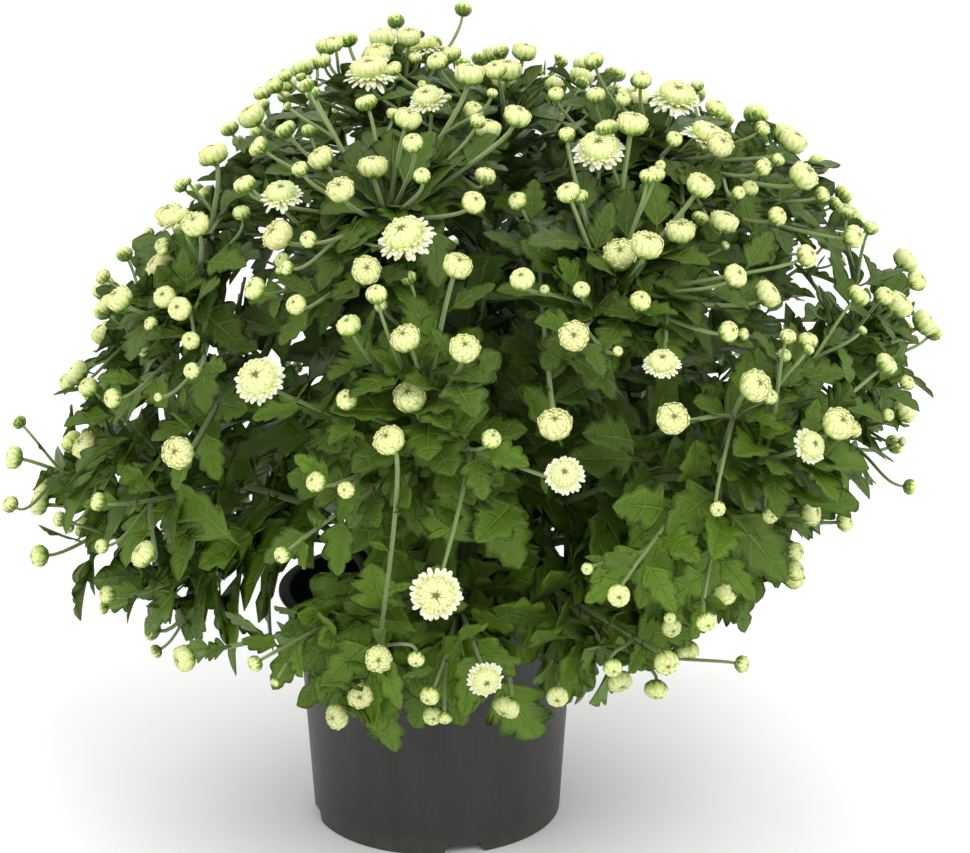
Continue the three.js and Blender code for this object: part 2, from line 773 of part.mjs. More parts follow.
// A lobed blade on a short stalk, thick along its middle and thin at its edge: its skin is open at the
// seat, whose first point is the crest of the stalk and whose others are its right and left edge.
function leafSkin(seat, start, direction, face, length) {
  const side = new THREE.Vector3().crossVectors(face, direction).normalize();
  const width = length * LEAF_WIDTH;
  const at = (along, across, lift) => {
    const run = spread(LEAF_STALK, 1, along);
    const fold = LEAF_FOLD * Math.abs(across) * width - LEAF_DROOP * length * run * run;
    return start
      .clone()
      .addScaledVector(direction, run * length)
      .addScaledVector(side, across * width)
      .addScaledVector(face, lift + fold);
  };
  const [crest, right, left] = seat.ring;
  const leftEdge = LEAF_OUTLINE.map(([along, across]) => at(along, across, 0));
  const rightEdge = LEAF_OUTLINE.map(([along, across]) => at(along, -across, 0)).reverse();
  const rim = [left, ...leftEdge, at(1, 0, 0), ...rightEdge, right];
  const upper = at(LEAF_CREST, 0, LEAF_HALF_THICKNESS);
  const lower = at(LEAF_CREST, 0, -LEAF_HALF_THICKNESS);
  const skin = [[left, crest, upper], [crest, right, upper], [right, left, lower]];
  for (let corner = 0; corner + 1 < rim.length; corner += 1) {
    skin.push([rim[corner + 1], rim[corner], upper]);
    skin.push([rim[corner], rim[corner + 1], lower]);
  }
  return skin;
}

// Turn and length of a leaf, in the order in which they are tried.
const LEAF_TRIES = [
  [0, 1],
  [0.45, 1],
  [-0.45, 1],
  [0.9, 0.92],
  [-0.9, 0.92],
  [0.3, 0.8],
  [-0.3, 0.8],
  [1.5, 0.8],
  [-1.5, 0.8],
  [0.6, 0.62],
  [-0.6, 0.62],
];

// A leaf of a stem: the lower ones stand on the main limb, the last ones on the leading shoots.
function growLeaf(stem, item, turn, scale) {
  const onStem = item < STEM_LEAVES;
  const shootLeaf = item - STEM_LEAVES;
  const limb = onStem ? stem.limb : stem.leads[shootLeaf % LEAD_HEADS];
  if (!limb) {
    return null;
  }
  const part = (item + luck(stem.stem, item, 21) * 0.7) / STEM_LEAVES;
  const share = onStem
    ? spread(LOWEST_LEAF, HIGHEST_LEAF, part)
    : SHOOT_LEAVES[Math.floor(shootLeaf / LEAD_HEADS)];
  const steps = limb.path.length - 1 - limb.buried;
  const step = Math.min(steps - 1, Math.floor(share * steps));
  const level = step + limb.buried;
  const rise = share * steps - step;
  const start = limb.path[level].clone().lerp(limb.path[level + 1], rise);
  const along = limb.path[level + 1].clone().sub(limb.path[level]).normalize();
  const [first, second] = sideways(along);
  const angle = stem.stem + item * GOLDEN_ANGLE + turn;
  const outward = first.multiplyScalar(Math.cos(angle)).addScaledVector(second, Math.sin(angle));
  const [azimuth, polar] = domePlace(start);
  const normal = domeNormal(azimuth, polar);
  const seat = seatOn(limb, level, rise, outward, normal);
  if (!seat) {
    return null;
  }
  outward.addScaledVector(seat.normal, FACE_PULL).normalize();
  const direction = outward.clone().addScaledVector(along, 0.5).addScaledVector(normal, 0.35);
  direction.addScaledVector(UP, 0.15).normalize();
  const face = normal.clone().addScaledVector(UP, 0.7).addScaledVector(along, 0.5);
  face.addScaledVector(direction, -face.dot(direction)).normalize();
  const whole = onStem ? spread(LEAF_LENGTH_LOW, LEAF_LENGTH_HIGH, share) : SHOOT_LEAF_LENGTH;
  const length = whole * scale * spread(...LEAF_SCATTER, luck(stem.stem, item, 22));
  return direction.dot(seat.normal) < LEAST_LEAN
    ? null
    : { seat, limb, skin: leafSkin(seat, start, direction, face, length) };
}

// Growing it all clear of what is there already

const grown = [];

function boxesMeet(one, two) {
  return [0, 1, 2].every((axis) => one.min[axis] < two.max[axis] + CLEARANCE
    && two.min[axis] < one.max[axis] + CLEARANCE);
}

// Whether a solid keeps clear of all that has grown. It touches the limb that it grows from only at
// its seat: lifted off that, it no longer meets the limb.
function isClear(solid, seat = null) {
  const box = solid.boundingBox();
  const lifted = seat ? solid.translate(seat.normal.clone().multiplyScalar(LIFT).toArray()) : null;
  return grown.every((other) => {
    if (!boxesMeet(box, other.box)) {
      return true;
    }
    if (seat && other.limb === seat.limb) {
      return lifted.intersect(other.solid).volume() < TOUCH_VOLUME;
    }
    return solid.minGap(other.solid, CLEARANCE * 2) >= CLEARANCE;
  });
}

function keep(solid, limb = null) {
  grown.push({ solid, limb, box: solid.boundingBox() });
}

// Shifts of a head from its place, in the order in which they are tried.
const HEAD_TRIES = [
  [0, 0, 0],
  [0, 0, 9],
  [11, 0, 0],
  [-11, 0, 0],
  [0, 11, 0],
  [0, -11, 0],
  [0, 0, -14],
  [16, 16, 0],
  [-16, -16, 0],
  [16, -16, 4],
  [-16, 16, 4],
  [24, 0, -8],
  [-24, 0, -8],
  [0, 24, -8],
  [0, -24, -8],
];

function nodeName(kind, number) {
  return `${kind}_${String(number).padStart(2, '0')}`;
}

const pot = buildPot();
const stems = stemPlaces().map(growStem);
const soil = buildSoil(stems);
keep(pot);

const heads = stems.flatMap(headPlaces);
placeGivenHeads(heads, OPEN_BLOOMS, true);
placeGivenHeads(heads, LARGE_HEADS, false);

const blooms = [];

function growMain(head) {
  const { stem } = head;
  const end = headEnd(head, [0, 0, 0]);
  const path = [...stem.path.slice(0, -1), end.base];
  const rings = stemRings(path, STEM_FOOT_RADIUS, STEM_TIP_RADIUS);
  stem.limb = { rings, path, seats: [], buried: 1, end: end.rings };
  stem.parts.push(firstCap(rings[0]));
  stem.limbs = [stem.limb];
  stem.leads = [];
  head.limb = stem.limb;
  keep(limbSolid(stem.limb), stem.limb);
  if (head.open) {
    blooms.push(openBloom(end.base, end.facing, head.radius));
    keep(blooms[blooms.length - 1]);
  }
}

function growHead(head) {
  const { stem } = head;
  const parent = heads.find((other) => other.stem === stem && other.item === head.parent);
  const shoots = parent.limb ? HEAD_TRIES.map((shift) => growShoot(head, parent.limb, shift)) : [];
  for (const shoot of shoots.filter((one) => one)) {
    const solid = limbSolid(shoot.limb);
    const bloom = head.open ? openBloom(shoot.base, shoot.facing, head.radius) : null;
    if (isClear(solid, shoot.seat) && (!bloom || isClear(bloom))) {
      head.limb = shoot.limb;
      parent.limb.seats.push(shoot.seat);
      stem.limbs.push(shoot.limb);
      if (head.isLead) {
        stem.leads.push(shoot.limb);
      }
      keep(solid, shoot.limb);
      if (bloom) {
        blooms.push(bloom);
        keep(bloom);
      }
      return;
    }
  }
}

function growLeafOn(stem, item) {
  for (const [turn, scale] of LEAF_TRIES) {
    const leaf = growLeaf(stem, item, turn, scale);
    const solid = leaf && solidFrom([...leaf.skin, ...firstCap(leaf.seat.ring)]);
    if (leaf && isClear(solid, leaf.seat)) {
      leaf.limb.seats.push(leaf.seat);
      stem.parts.push(leaf.skin);
      keep(solid);
      return;
    }
  }
}

heads.filter((head) => head.isMain).forEach(growMain);
const waiting = heads.filter((head) => !head.isMain);
waiting.filter((head) => head.open).forEach(growHead);
waiting.filter((head) => !head.open && head.isLead).forEach(growHead);
waiting.filter((head) => !head.open && !head.isLead).forEach(growHead);
for (let item = STEM_LEAVES + SHOOT_LEAVES.length * LEAD_HEADS - 1; item >= 0; item -= 1) {
  stems.forEach((stem) => growLeafOn(stem, item));
}

function meshOf({ vertProperties, triVerts }, material, name) {
  const geometry = new THREE.BufferGeometry();
  geometry.setAttribute('position', new THREE.BufferAttribute(Float32Array.from(vertProperties), 3));
  geometry.setIndex(new THREE.BufferAttribute(Uint32Array.from(triVerts), 1));
  geometry.computeVertexNormals();
  const mesh = new THREE.Mesh(geometry, material);
  mesh.name = name;
  return mesh;
}

// A leafy stem's whole skin: its limbs with their ends, its buried foot and its leaves.
function stemSkin(stem) {
  const limbs = stem.limbs.flatMap((limb) => {
    const end = [limb.rings[limb.rings.length - 1], ...limb.end];
    return [...limbSkin(limb), ...loft(end), ...lastCap(end[end.length - 1])];
  });
  return [...limbs, ...stem.parts.flat()];
}

const plant = new THREE.Group();
plant.add(meshOf(pot.getMesh(), darkPlastic, 'pot'));
plant.add(meshOf(soil.getMesh(), pottingMix, 'soil'));
for (const stem of stems) {
  plant.add(meshOf(indexed(stemSkin(stem)), green, nodeName('spray', stem.stem + 1)));
}
blooms.forEach((bloom, index) => {
  plant.add(meshOf(bloom.getMesh(), cream, nodeName('bloom', index + 1)));
});

export default plant;
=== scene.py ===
"""A potted chrysanthemum in bud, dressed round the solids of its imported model.

Lengths are millimetres until a surface is put into its mesh. +Z is up, the origin is the centre of
the pot's foot, the photograph looks along +Y, and an azimuth is counted from the front (-Y)
towards +X.
"""

import logging
import math
from dataclasses import dataclass, field, replace
from enum import Enum

import bpy
import numpy as np
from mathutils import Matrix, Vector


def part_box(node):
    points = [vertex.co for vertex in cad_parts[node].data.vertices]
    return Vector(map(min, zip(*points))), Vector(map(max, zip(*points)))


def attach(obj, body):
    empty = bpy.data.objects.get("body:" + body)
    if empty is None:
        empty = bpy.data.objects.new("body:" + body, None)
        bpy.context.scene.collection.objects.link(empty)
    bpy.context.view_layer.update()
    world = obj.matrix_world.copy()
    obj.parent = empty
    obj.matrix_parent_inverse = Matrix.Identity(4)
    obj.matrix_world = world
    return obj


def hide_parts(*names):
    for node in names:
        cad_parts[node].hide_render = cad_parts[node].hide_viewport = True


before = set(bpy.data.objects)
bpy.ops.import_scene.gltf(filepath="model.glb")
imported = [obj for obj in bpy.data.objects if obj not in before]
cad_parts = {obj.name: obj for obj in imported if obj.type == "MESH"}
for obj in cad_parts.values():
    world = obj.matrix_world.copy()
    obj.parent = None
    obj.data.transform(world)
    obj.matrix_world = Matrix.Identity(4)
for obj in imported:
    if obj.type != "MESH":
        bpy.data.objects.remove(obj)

Array = np.ndarray
Material = bpy.types.Material
Node = bpy.types.Node
NodeTree = bpy.types.NodeTree
Random = np.random.Generator
Socket = bpy.types.NodeSocket
Thing = bpy.types.Object

LOG = logging.getLogger("chrysanthemum")
MM = 0.001
SEED = 4711
GOLDEN_ANGLE = math.pi * (3 - math.sqrt(5))
UP = np.array([0.0, 0.0, 1.0])
BLADE_UV = "Blade"
MARKS = ("tint", "age", "under")
PETAL_EDGE = 62  # degrees past which an edge between petals is shaded as sharp
POT_EDGE = 50  # the same for the pot
MIDDLE_RUN = 0.587  # how far along a leaf its middle point lies


# Small helpers


def unit(vectors: Array) -> Array:
    """Vectors of length one, along the last axis."""
    return vectors / np.maximum(np.linalg.norm(vectors, axis=-1, keepdims=True), 1e-9)


def between(low: float, high: float, share: Array) -> Array:
    """The value at a share of the way from low to high."""
    return low + (high - low) * share


def eased(low: float, high: float, value: Array) -> Array:
    """A smooth step from 0 at low to 1 at high: 3 t squared minus 2 t cubed."""
    share = np.clip((value - low) / (high - low), 0, 1)
    return share * share * (3 - 2 * share)


def squared(one: Array, two: Array) -> Array:
    """One vector with its part along a unit vector taken out, at length one."""
    return unit(one - two * np.sum(one * two, axis=-1, keepdims=True))


def angles(count: int) -> Array:
    """Even angles round a circle."""
    return np.arange(count) / count * 2 * math.pi


def round_axis(out: Array, angle: Array, height: Array) -> Array:
    """Points at a distance from the Z axis, an angle counted from +X, and a height."""
    return np.stack(np.broadcast_arrays(out * np.cos(angle), out * np.sin(angle), height), -1)


def outward(azimuth: Array, out: Array, height: Array) -> Array:
    """Points at a distance from the Z axis, an azimuth counted from the front, and a height."""
    return np.stack(np.broadcast_arrays(out * np.sin(azimuth), -out * np.cos(azimuth), height), -1)


def spoke(first: Array, second: Array, turn: Array) -> Array:
    """The direction that lies a turn from the first one towards the second."""
    return first * np.cos(turn) + second * np.sin(turn)


def sideways(direction: Array) -> tuple[Array, Array]:
    """Two directions at right angles to each given one: the first is level, or nearly.

    Args:
        direction: unit vectors, shape (..., 3).

    Returns:
        Both directions, each of the same shape.
    """
    steep = np.abs(direction[..., 2:3]) >= 0.9
    first = unit(np.cross(np.where(steep, np.array([0.0, 1.0, 0.0]), UP), direction))
    return first, np.cross(direction, first)


def luck(stem: int, item: int, use: int) -> float:
    """A number from 0 to 1 that is always the same for the same stem, item and use.

    Args:
        stem, item, use: whole numbers that name the draw.

    Returns:
        The number.
    """
    bits = (SEED + stem * 7919 + item * 104729 + use * 15485863) & 0xFFFFFFFF
    bits = ((bits ^ (bits >> 15)) * 0x2C1B3C6D) & 0xFFFFFFFF
    bits = ((bits ^ (bits >> 12)) * 0x297A2D39) & 0xFFFFFFFF
    return (bits ^ (bits >> 15)) / 4294967296


def bezier(control: Array, share: Array) -> Array:
    """Points of cubic curves: the Bernstein sum of four control points.

    Args:
        control: shape (n, 4, 3).
        share: shape (k,), 0 at the start and 1 at the end.

    Returns:
        Points, shape (n, k, 3).
    """
    rest = 1 - share
    weights = np.stack([rest**3, 3 * rest**2 * share, 3 * rest * share**2, share**3])
    return np.einsum("wk,nwc->nkc", weights, control)


def bezier_slope(control: Array, share: Array) -> Array:
    """Unit tangents of cubic curves, shape (n, k, 3): the Bernstein sum of the control steps.

    Args:
        control, share: as for bezier.

    Returns:
        The tangents.
    """
    rest = 1 - share
    weights = np.stack([rest**2, 2 * rest * share, share**2])
    return unit(np.einsum("wk,nwc->nkc", weights, np.diff(control, axis=1)))


# Surfaces


@dataclass
class Surface:
    """Points in millimetres with the faces between them.

    A place in uv and one number for each mark go with every point.
    """

    points: Array
    quads: Array
    triangles: Array
    uv: Array
    marks: dict[str, Array]

    @staticmethod
    def joined(parts: list["Surface"]) -> "Surface":
        """All the parts as one surface, each still closed in itself.

        Args:
            parts: the surfaces in order.

        Returns:
            The surface.
        """
        starts = np.cumsum([0] + [len(part.points) for part in parts[:-1]])
        return Surface(
            np.concatenate([part.points for part in parts]),
            np.concatenate([part.quads + start for part, start in zip(parts, starts)]),
            np.concatenate([part.triangles + start for part, start in zip(parts, starts)]),
            np.concatenate([part.uv for part in parts]),
            {name: np.concatenate([part.marks[name] for part in parts]) for name in MARKS},
        )


def loft(rings: Array, uv: Array, **marks: Array) -> Surface:
    """Closed skins over stacks of rings, with a fan of triangles over each end.

    Quad (ring r, corner c) joins corners c and c + 1 of rings r and r + 1. Rings run
    counterclockwise as seen from the end that they lead to, so the faces point out.

    Args:
        rings: shape (n, k, s, 3), n skins of k rings with s corners.
        uv: broadcasts to shape (n, k, s, 2).
        marks: each broadcasts to shape (n, k, s). A mark that isn't given is 0.

    Returns:
        One surface with all the skins.
    """
    shape = rings.shape[:3]
    count, levels, corners = shape
    level, corner = np.meshgrid(np.arange(levels - 1) * corners, np.arange(corners), indexing="ij")
    quad = np.stack([corner, (corner + 1) % corners], -1) + level[..., None]
    quads = np.concatenate([quad, quad[..., ::-1] + corners], -1)
    fan = np.arange(1, corners - 1)
    first = np.stack([np.zeros_like(fan), fan + 1, fan], -1)
    last = np.stack([np.zeros_like(fan), fan, fan + 1], -1) + (levels - 1) * corners
    start = (np.arange(count) * levels * corners)[:, None, None]
    return Surface(
        rings.reshape(-1, 3),
        (quads.reshape(1, -1, 4) + start).reshape(-1, 4),
        (np.concatenate([first, last])[None] + start).reshape(-1, 3),
        np.broadcast_to(uv, shape + (2,)).reshape(-1, 2),
        {name: np.broadcast_to(marks.get(name, 0.0), shape).reshape(-1) for name in MARKS},
    )


def put_piece(name: str, layers: list[tuple[Surface, Material]], crisp: bool = False) -> Thing:
    """Puts surfaces into one mesh, a material for each, and links its object at the origin.

    Args:
        name: the piece's name.
        layers: surfaces with their materials.
        crisp: whether edges steeper than PETAL_EDGE degrees are shaded as sharp ones.

    Returns:
        The object.
    """
    whole = Surface.joined([surface for surface, _ in layers])
    corners = np.concatenate([whole.quads.ravel(), whole.triangles.ravel()])
    starts = np.concatenate([np.arange(len(whole.quads)) * 4,
                             whole.quads.size + np.arange(len(whole.triangles)) * 3])
    slots = [np.full(len(surface.quads), index) for index, (surface, _) in enumerate(layers)]
    slots += [np.full(len(surface.triangles), index) for index, (surface, _) in enumerate(layers)]
    mesh = bpy.data.meshes.new(name)
    for rows, count, key, values in (
        (mesh.vertices, len(whole.points), "co", (whole.points * MM).astype(np.float32)),
        (mesh.loops, len(corners), "vertex_index", corners.astype(np.int32)),
        (mesh.polygons, len(starts), "loop_start", starts.astype(np.int32)),
    ):
        rows.add(count)
        rows.foreach_set(key, values.ravel())
    mesh.polygons.foreach_set("material_index", np.concatenate(slots).astype(np.int32))
    mesh.update(calc_edges=True)
    layer = mesh.uv_layers.new(name=BLADE_UV)
    layer.data.foreach_set("uv", whole.uv[corners].astype(np.float32).ravel())
    for mark, values in whole.marks.items():
        attribute = mesh.attributes.new(mark, "FLOAT", "POINT")
        attribute.data.foreach_set("value", values.astype(np.float32))
    mesh.shade_smooth()
    if crisp:
        mesh.set_sharp_from_angle(angle=math.radians(PETAL_EDGE))
    for _, material in layers:
        mesh.materials.append(material)
    piece = bpy.data.objects.new(name, mesh)
    bpy.context.scene.collection.objects.link(piece)
    return piece


# Finishes


class Board:
    """A node tree with short ways to add nodes to it."""

    def __init__(self, tree: NodeTree) -> None:
        """Starts on an empty tree."""
        self.tree = tree
        tree.nodes.clear()

    def feed(self, socket: Socket, value: object) -> None:
        """Links an output to a socket, or sets the socket's own value.

        Args:
            socket: an input.
            value: an output, or a number, vector or colour.
        """
        if isinstance(value, Socket):
            self.tree.links.new(value, socket)
        else:
            socket.default_value = value

    def node(self, kind: str | NodeTree, **inputs: object) -> Node:
        """Adds a node or places a group, and feeds its inputs, named with _ for a space.

        Args:
            kind: the type without its prefix, or a group.
            inputs: a value or output for each.

        Returns:
            The node.
        """
        group = isinstance(kind, NodeTree)
        node = self.tree.nodes.new("ShaderNode" + ("Group" if group else kind))
        if group:
            node.node_tree = kind
        for name, value in inputs.items():
            self.feed(node.inputs[name.replace("_", " ")], value)
        return node

    def chosen(self, kind: str, values: dict[int, object], **choices: str) -> Node:
        """Adds a node with its choices made, and feeds its inputs by their numbers.

        Args:
            kind: the type without its prefix.
            values: a value or output for each numbered input.
            choices: the node's own settings.

        Returns:
            The node.
        """
        node = self.tree.nodes.new("ShaderNode" + kind)
        for name, choice in choices.items():
            setattr(node, name, choice)
        for number, value in values.items():
            self.feed(node.inputs[number], value)
        return node

    def sums(self, operation: str, *values: object) -> Socket:
        """A Math node on one to three values."""
        return self.chosen("Math", dict(enumerate(values)), operation=operation).outputs[0]

    def times(self, one: object, two: object) -> Socket:
        """The product of two values."""
        return self.sums("MULTIPLY", one, two)

    def line(self, value: object, slope: float, start: float) -> Socket:
        """A value times a slope plus a start."""
        return self.sums("MULTIPLY_ADD", value, slope, start)

    def step(self, value: object, low: float, high: float, start: float = 0.0,
             end: float = 1.0) -> Socket:
        """A smooth step of a value, from start at low to end at high."""
        values = dict(enumerate((value, low, high, start, end)))
        return self.chosen("MapRange", values, interpolation_type="SMOOTHSTEP").outputs[0]

    def layered(self, ground: object, *layers: tuple[object, object]) -> Socket:
        """A colour with others laid over it in order, each as its mask and the colour.

        Args:
            ground: the lowest colour.
            layers: mask and colour of each.

        Returns:
            The mixed colour.
        """
        for mask, colour in layers:
            values = {0: mask, 6: ground, 7: colour}
            ground = self.chosen("Mix", values, data_type="RGBA").outputs[2]
        return ground

    def noise(self, place: object, scale: object, detail: float) -> Socket:
        """Noise in an object's own space."""
        return self.node("TexNoise", Vector=place, Scale=scale, Detail=detail).outputs[0]

    def mark(self, name: str) -> Socket:
        """A point's mark, as a number."""
        return self.chosen("Attribute", {}, attribute_name=name).outputs["Fac"]

    def blade(self) -> tuple[Socket, Socket]:
        """How far across and along a blade, petal or stem a point lies, from its UV map.

        Returns:
            Both shares, as outputs.
        """
        spot = self.chosen("UVMap", {}, uv_map=BLADE_UV).outputs[0]
        split = self.node("SeparateXYZ", Vector=spot)
        return split.outputs[0], split.outputs[1]

    def off_middle(self, across: Socket) -> Socket:
        """How far a point lies from a blade's middle line: 0 on it and 1 at either edge."""
        return self.sums("ABSOLUTE", self.line(across, 2.0, -1.0))


def new_group(name: str, inputs: dict[str, float | tuple], output: str, kind: str) -> tuple:
    """An empty node group with named sockets.

    Args:
        name: the group's name.
        inputs: each input's default, a number, or a tuple for a vector.
        output, kind: the output's name and socket type.

    Returns:
        The board, the inputs' sockets in order, and the output's socket.
    """
    tree = bpy.data.node_groups.new(name, "ShaderNodeTree")
    for key, value in inputs.items():
        sort = "NodeSocketVector" if isinstance(value, tuple) else "NodeSocketFloat"
        tree.interface.new_socket(name=key, in_out="INPUT", socket_type=sort).default_value = value
    tree.interface.new_socket(name=output, in_out="OUTPUT", socket_type=kind)
    board = Board(tree)
    start, end = (tree.nodes.new("NodeGroup" + way) for way in ("Input", "Output"))
    return board, [start.outputs[key] for key in inputs], end.inputs[output]


class Effects:
    """Node groups that several finishes share."""

    def __init__(self) -> None:
        """Builds each group once."""
        self.mottle = self.build_mottle()
        self.relief = self.build_relief()

    def build_mottle(self) -> NodeTree:
        """Soft blotches with finer flecks: noise at a scale plus a share of finer noise.

        Returns:
            The group.
        """
        inputs = {"Vector": (0.0, 0.0, 0.0), "Scale": 60.0, "Fleck Share": 0.3}
        board, sockets, mask = new_group("mottle", inputs, "Mask", "NodeSocketFloat")
        place, scale, share = sockets
        fleck = board.times(board.noise(place, board.times(scale, 9.0), 3.0), share)
        soft = board.times(board.noise(place, scale, 2.0), board.sums("SUBTRACT", 1.0, share))
        board.feed(mask, board.step(board.sums("ADD", soft, fleck), 0.34, 0.66))
        return board.tree

    def build_relief(self) -> NodeTree:
        """A normal bumped by a given height plus fine grain.

        Returns:
            The group.
        """
        inputs = {"Vector": (0.0, 0.0, 0.0), "Height": 0.0, "Grain Scale": 900.0, "Grain": 0.2,
                  "Depth": 0.0004}
        board, sockets, normal = new_group("relief", inputs, "Normal", "NodeSocketVector")
        place, height, scale, share, depth = sockets
        height = board.sums("ADD", height, board.times(board.noise(place, scale, 3.0), share))
        bump = board.node("Bump", Height=height, Distance=depth, Strength=0.9)
        board.feed(normal, bump.outputs[0])
        return board.tree


@dataclass(frozen=True)
class Finish:
    """A material. A subclass names its colours, grain and fixed values and lays out its look.

    The grain is its scale, its share of the relief's height and the relief's depth in metres. The
    fixed values are shader inputs that are the same all over.
    """

    name: str
    effects: Effects

    def material(self) -> Material:
        """Builds the material: the subclass's look with its grain over it.

        Returns:
            The material.
        """
        material = bpy.data.materials.new(self.name)
        material.use_nodes = True
        board = Board(material.node_tree)
        shader = board.node("BsdfPrincipled")
        board.node("OutputMaterial", Surface=shader.outputs[0])
        place = board.node("TexCoord").outputs["Object"]
        colour, roughness, height = self.look(board, place)
        scale, grain, depth = self.grain
        relief = board.node(self.effects.relief, Vector=place, Height=height, Grain_Scale=scale,
                            Grain=grain, Depth=depth)
        for name, value in (("Base Color", colour), ("Roughness", roughness),
                            ("Normal", relief.outputs[0]), *self.fixed):
            board.feed(shader.inputs[name], value)
        return material

    def mottle(self, board: Board, place: Socket, scale: float, flecks: float = 0.3) -> Socket:
        """The shared blotches at a scale."""
        return board.node(self.effects.mottle, Vector=place, Scale=scale,
                          Fleck_Share=flecks).outputs[0]

    def look(self, board: Board, place: Socket) -> tuple:
        """The colour, the roughness and the relief's height.

        Args:
            board: the material's nodes.
            place: object coordinates.

        Returns:
            The colour, the roughness and the relief's height.
        """
        raise NotImplementedError


@dataclass(frozen=True)
class LeafFinish(Finish):
    """A leaf's blade: green that varies by leaf, pale veins, a light rim, a paler underside, and
    painted light on lower leaves.
    """

    dark: tuple = (0.040, 0.076, 0.006, 1)
    middle: tuple = (0.066, 0.126, 0.008, 1)
    bright: tuple = (0.125, 0.245, 0.010, 1)
    dull: tuple = (0.068, 0.104, 0.022, 1)
    vein: tuple = (0.170, 0.270, 0.050, 1)
    rim: tuple = (0.190, 0.270, 0.070, 1)
    underside: tuple = (0.110, 0.175, 0.050, 1)
    grain: tuple = (700.0, 0.5, 0.0010)
    fixed: tuple = (("Specular IOR Level", 0.24),)

    def look(self, board: Board, place: Socket) -> tuple:
        """Mixes the greens by the leaf's marks, then the veins and the rim by its UV map."""
        across, along = board.blade()
        out, phase = board.off_middle(across), board.times(along, 4.0)
        midrib = board.step(out, 0.03, 0.12, 1.0, 0.0)
        lateral = board.step(board.sums("PINGPONG", phase, 0.5), 0.02, 0.10, 1.0, 0.0)
        fading = board.times(board.step(out, 0.95, 0.35), board.step(phase, 0.55, 0.8))
        veins = board.sums("MAXIMUM", midrib, board.times(board.times(lateral, fading), 0.6))
        mottle = self.mottle(board, place, 90.0)
        tint, age, under = (board.mark(name) for name in MARKS)
        lively, dulled = (board.sums("FRACT", board.times(tint, many)) for many in (7.0, 23.0))
        green = board.layered(
            self.dark,
            (tint, self.middle),
            # Painted light: here and two layers down, more bright green goes on lower leaves by
            # the age mark (0 at the dome's top, 1 at its foot), standing in for light shining into
            # the lower foliage.
            (board.times(lively, board.line(age, 0.7, 0.15)), self.bright),
            (board.times(dulled, board.line(age, -0.4, 0.6)), self.dull),
            (board.times(age, 0.38), self.bright),
            (board.times(mottle, 0.35), self.middle),
            (board.times(veins, 0.45), self.vein),
            (board.times(board.step(out, 0.90, 1.0), 0.45), self.rim),
            (board.times(under, 0.75), self.underside),
        )
        height = board.sums("SUBTRACT", board.times(mottle, 0.5), veins)
        return green, board.line(mottle, 0.14, 0.38), height


@dataclass(frozen=True)
class StemFinish(Finish):
    """Stems and stalks: pale green ridges with darker grooves, brown where they leave the soil."""

    young: tuple = (0.270, 0.370, 0.120, 1)
    grown: tuple = (0.092, 0.150, 0.030, 1)
    woody: tuple = (0.070, 0.048, 0.024, 1)
    grain: tuple = (1500.0, 1.0, 0.0003)
    fixed: tuple = (("Sheen Weight", 0.25), ("Sheen Roughness", 0.5))

    def look(self, board: Board, place: Socket) -> tuple:
        """Mixes the colours by the stem's age mark, which is 1 at the foot."""
        ridge, along = board.blade()
        green = board.layered(
            self.grown,
            (along, self.young),
            (board.times(board.step(ridge, 0.7, 0.2), 0.45), self.grown),
            (board.mark("age"), self.woody),
            (board.times(self.mottle(board, place, 160.0, 0.5), 0.35), self.grown),
        )
        return green, 0.6, 0.0


@dataclass(frozen=True)
class CalyxFinish(Finish):
    """The scales that cup a head: green down the middle, pale at their edges and tips."""

    green: tuple = (0.105, 0.205, 0.022, 1)
    pale: tuple = (0.36, 0.49, 0.10, 1)
    grain: tuple = (1800.0, 0.6, 0.0002)
    fixed: tuple = ()

    def look(self, board: Board, place: Socket) -> tuple:
        """Mixes green and pale by how far across and along the scale a point lies."""
        across, along = board.blade()
        edge = board.step(board.off_middle(across), 0.45, 0.95)
        tip = board.times(board.step(along, 0.6, 1.0), 0.5)
        colour = board.layered(self.green, (board.sums("MAXIMUM", edge, tip), self.pale),
                               (board.times(board.mark("tint"), 0.35), self.green))
        return colour, 0.5, 0.0


@dataclass(frozen=True)
class PetalFinish(Finish):
    """Petals: green at the foot, lemon with painted shade along the petal edges in a head's
    middle, cream outside.
    """

    foot: tuple = (0.46, 0.59, 0.09, 1)
    lemon: tuple = (0.86, 0.845, 0.33, 1)
    cream: tuple = (0.91, 0.90, 0.68, 1)
    # painted shade for the inner petals' edges, where shade falls between petals
    painted_seam_shade: tuple = (0.50, 0.52, 0.13, 1)
    blush: tuple = (0.88, 0.58, 0.34, 1)
    heart: tuple = (0.13, 0.15, 0.02, 1)
    grain: tuple = (1200.0, 0.15, 0.0001)
    fixed: tuple = (("Subsurface Weight", 0.25), ("Subsurface Scale", 0.003))

    def look(self, board: Board, place: Socket) -> tuple:
        """Mixes the colours along the petal, by how far in it stands and by each head's tint."""
        across, along = board.blade()
        tint, inner, heart = (board.mark(name) for name in MARKS)
        outer = board.layered(self.lemon, (board.step(along, 0.25, 0.85), self.cream))
        pale = board.times(board.step(along, 0.5, 1.0), 0.4)
        flushed = board.times(board.step(tint, 0.82, 1.0), board.step(along, 0.9, 0.3))
        edge = board.step(board.off_middle(across), 0.45, 1.0)
        colour = board.layered(
            outer,
            (board.step(inner, 0.0, 0.4), board.layered(self.lemon, (pale, self.cream))),
            (board.step(along, 0.58, 0.05, 0.0, 0.8), self.foot),
            (board.times(flushed, 0.5), self.blush),
            # Painted shade: the inner petals' edges are darkened to stand in for the shade between
            # overlapping petals.
            (board.times(board.times(edge, board.step(inner, 0.0, 0.3)), 0.6), self.painted_seam_shade),
            (heart, self.heart),
        )
        return colour, 0.55, board.sums("PINGPONG", board.times(across, 5.0), 0.5)


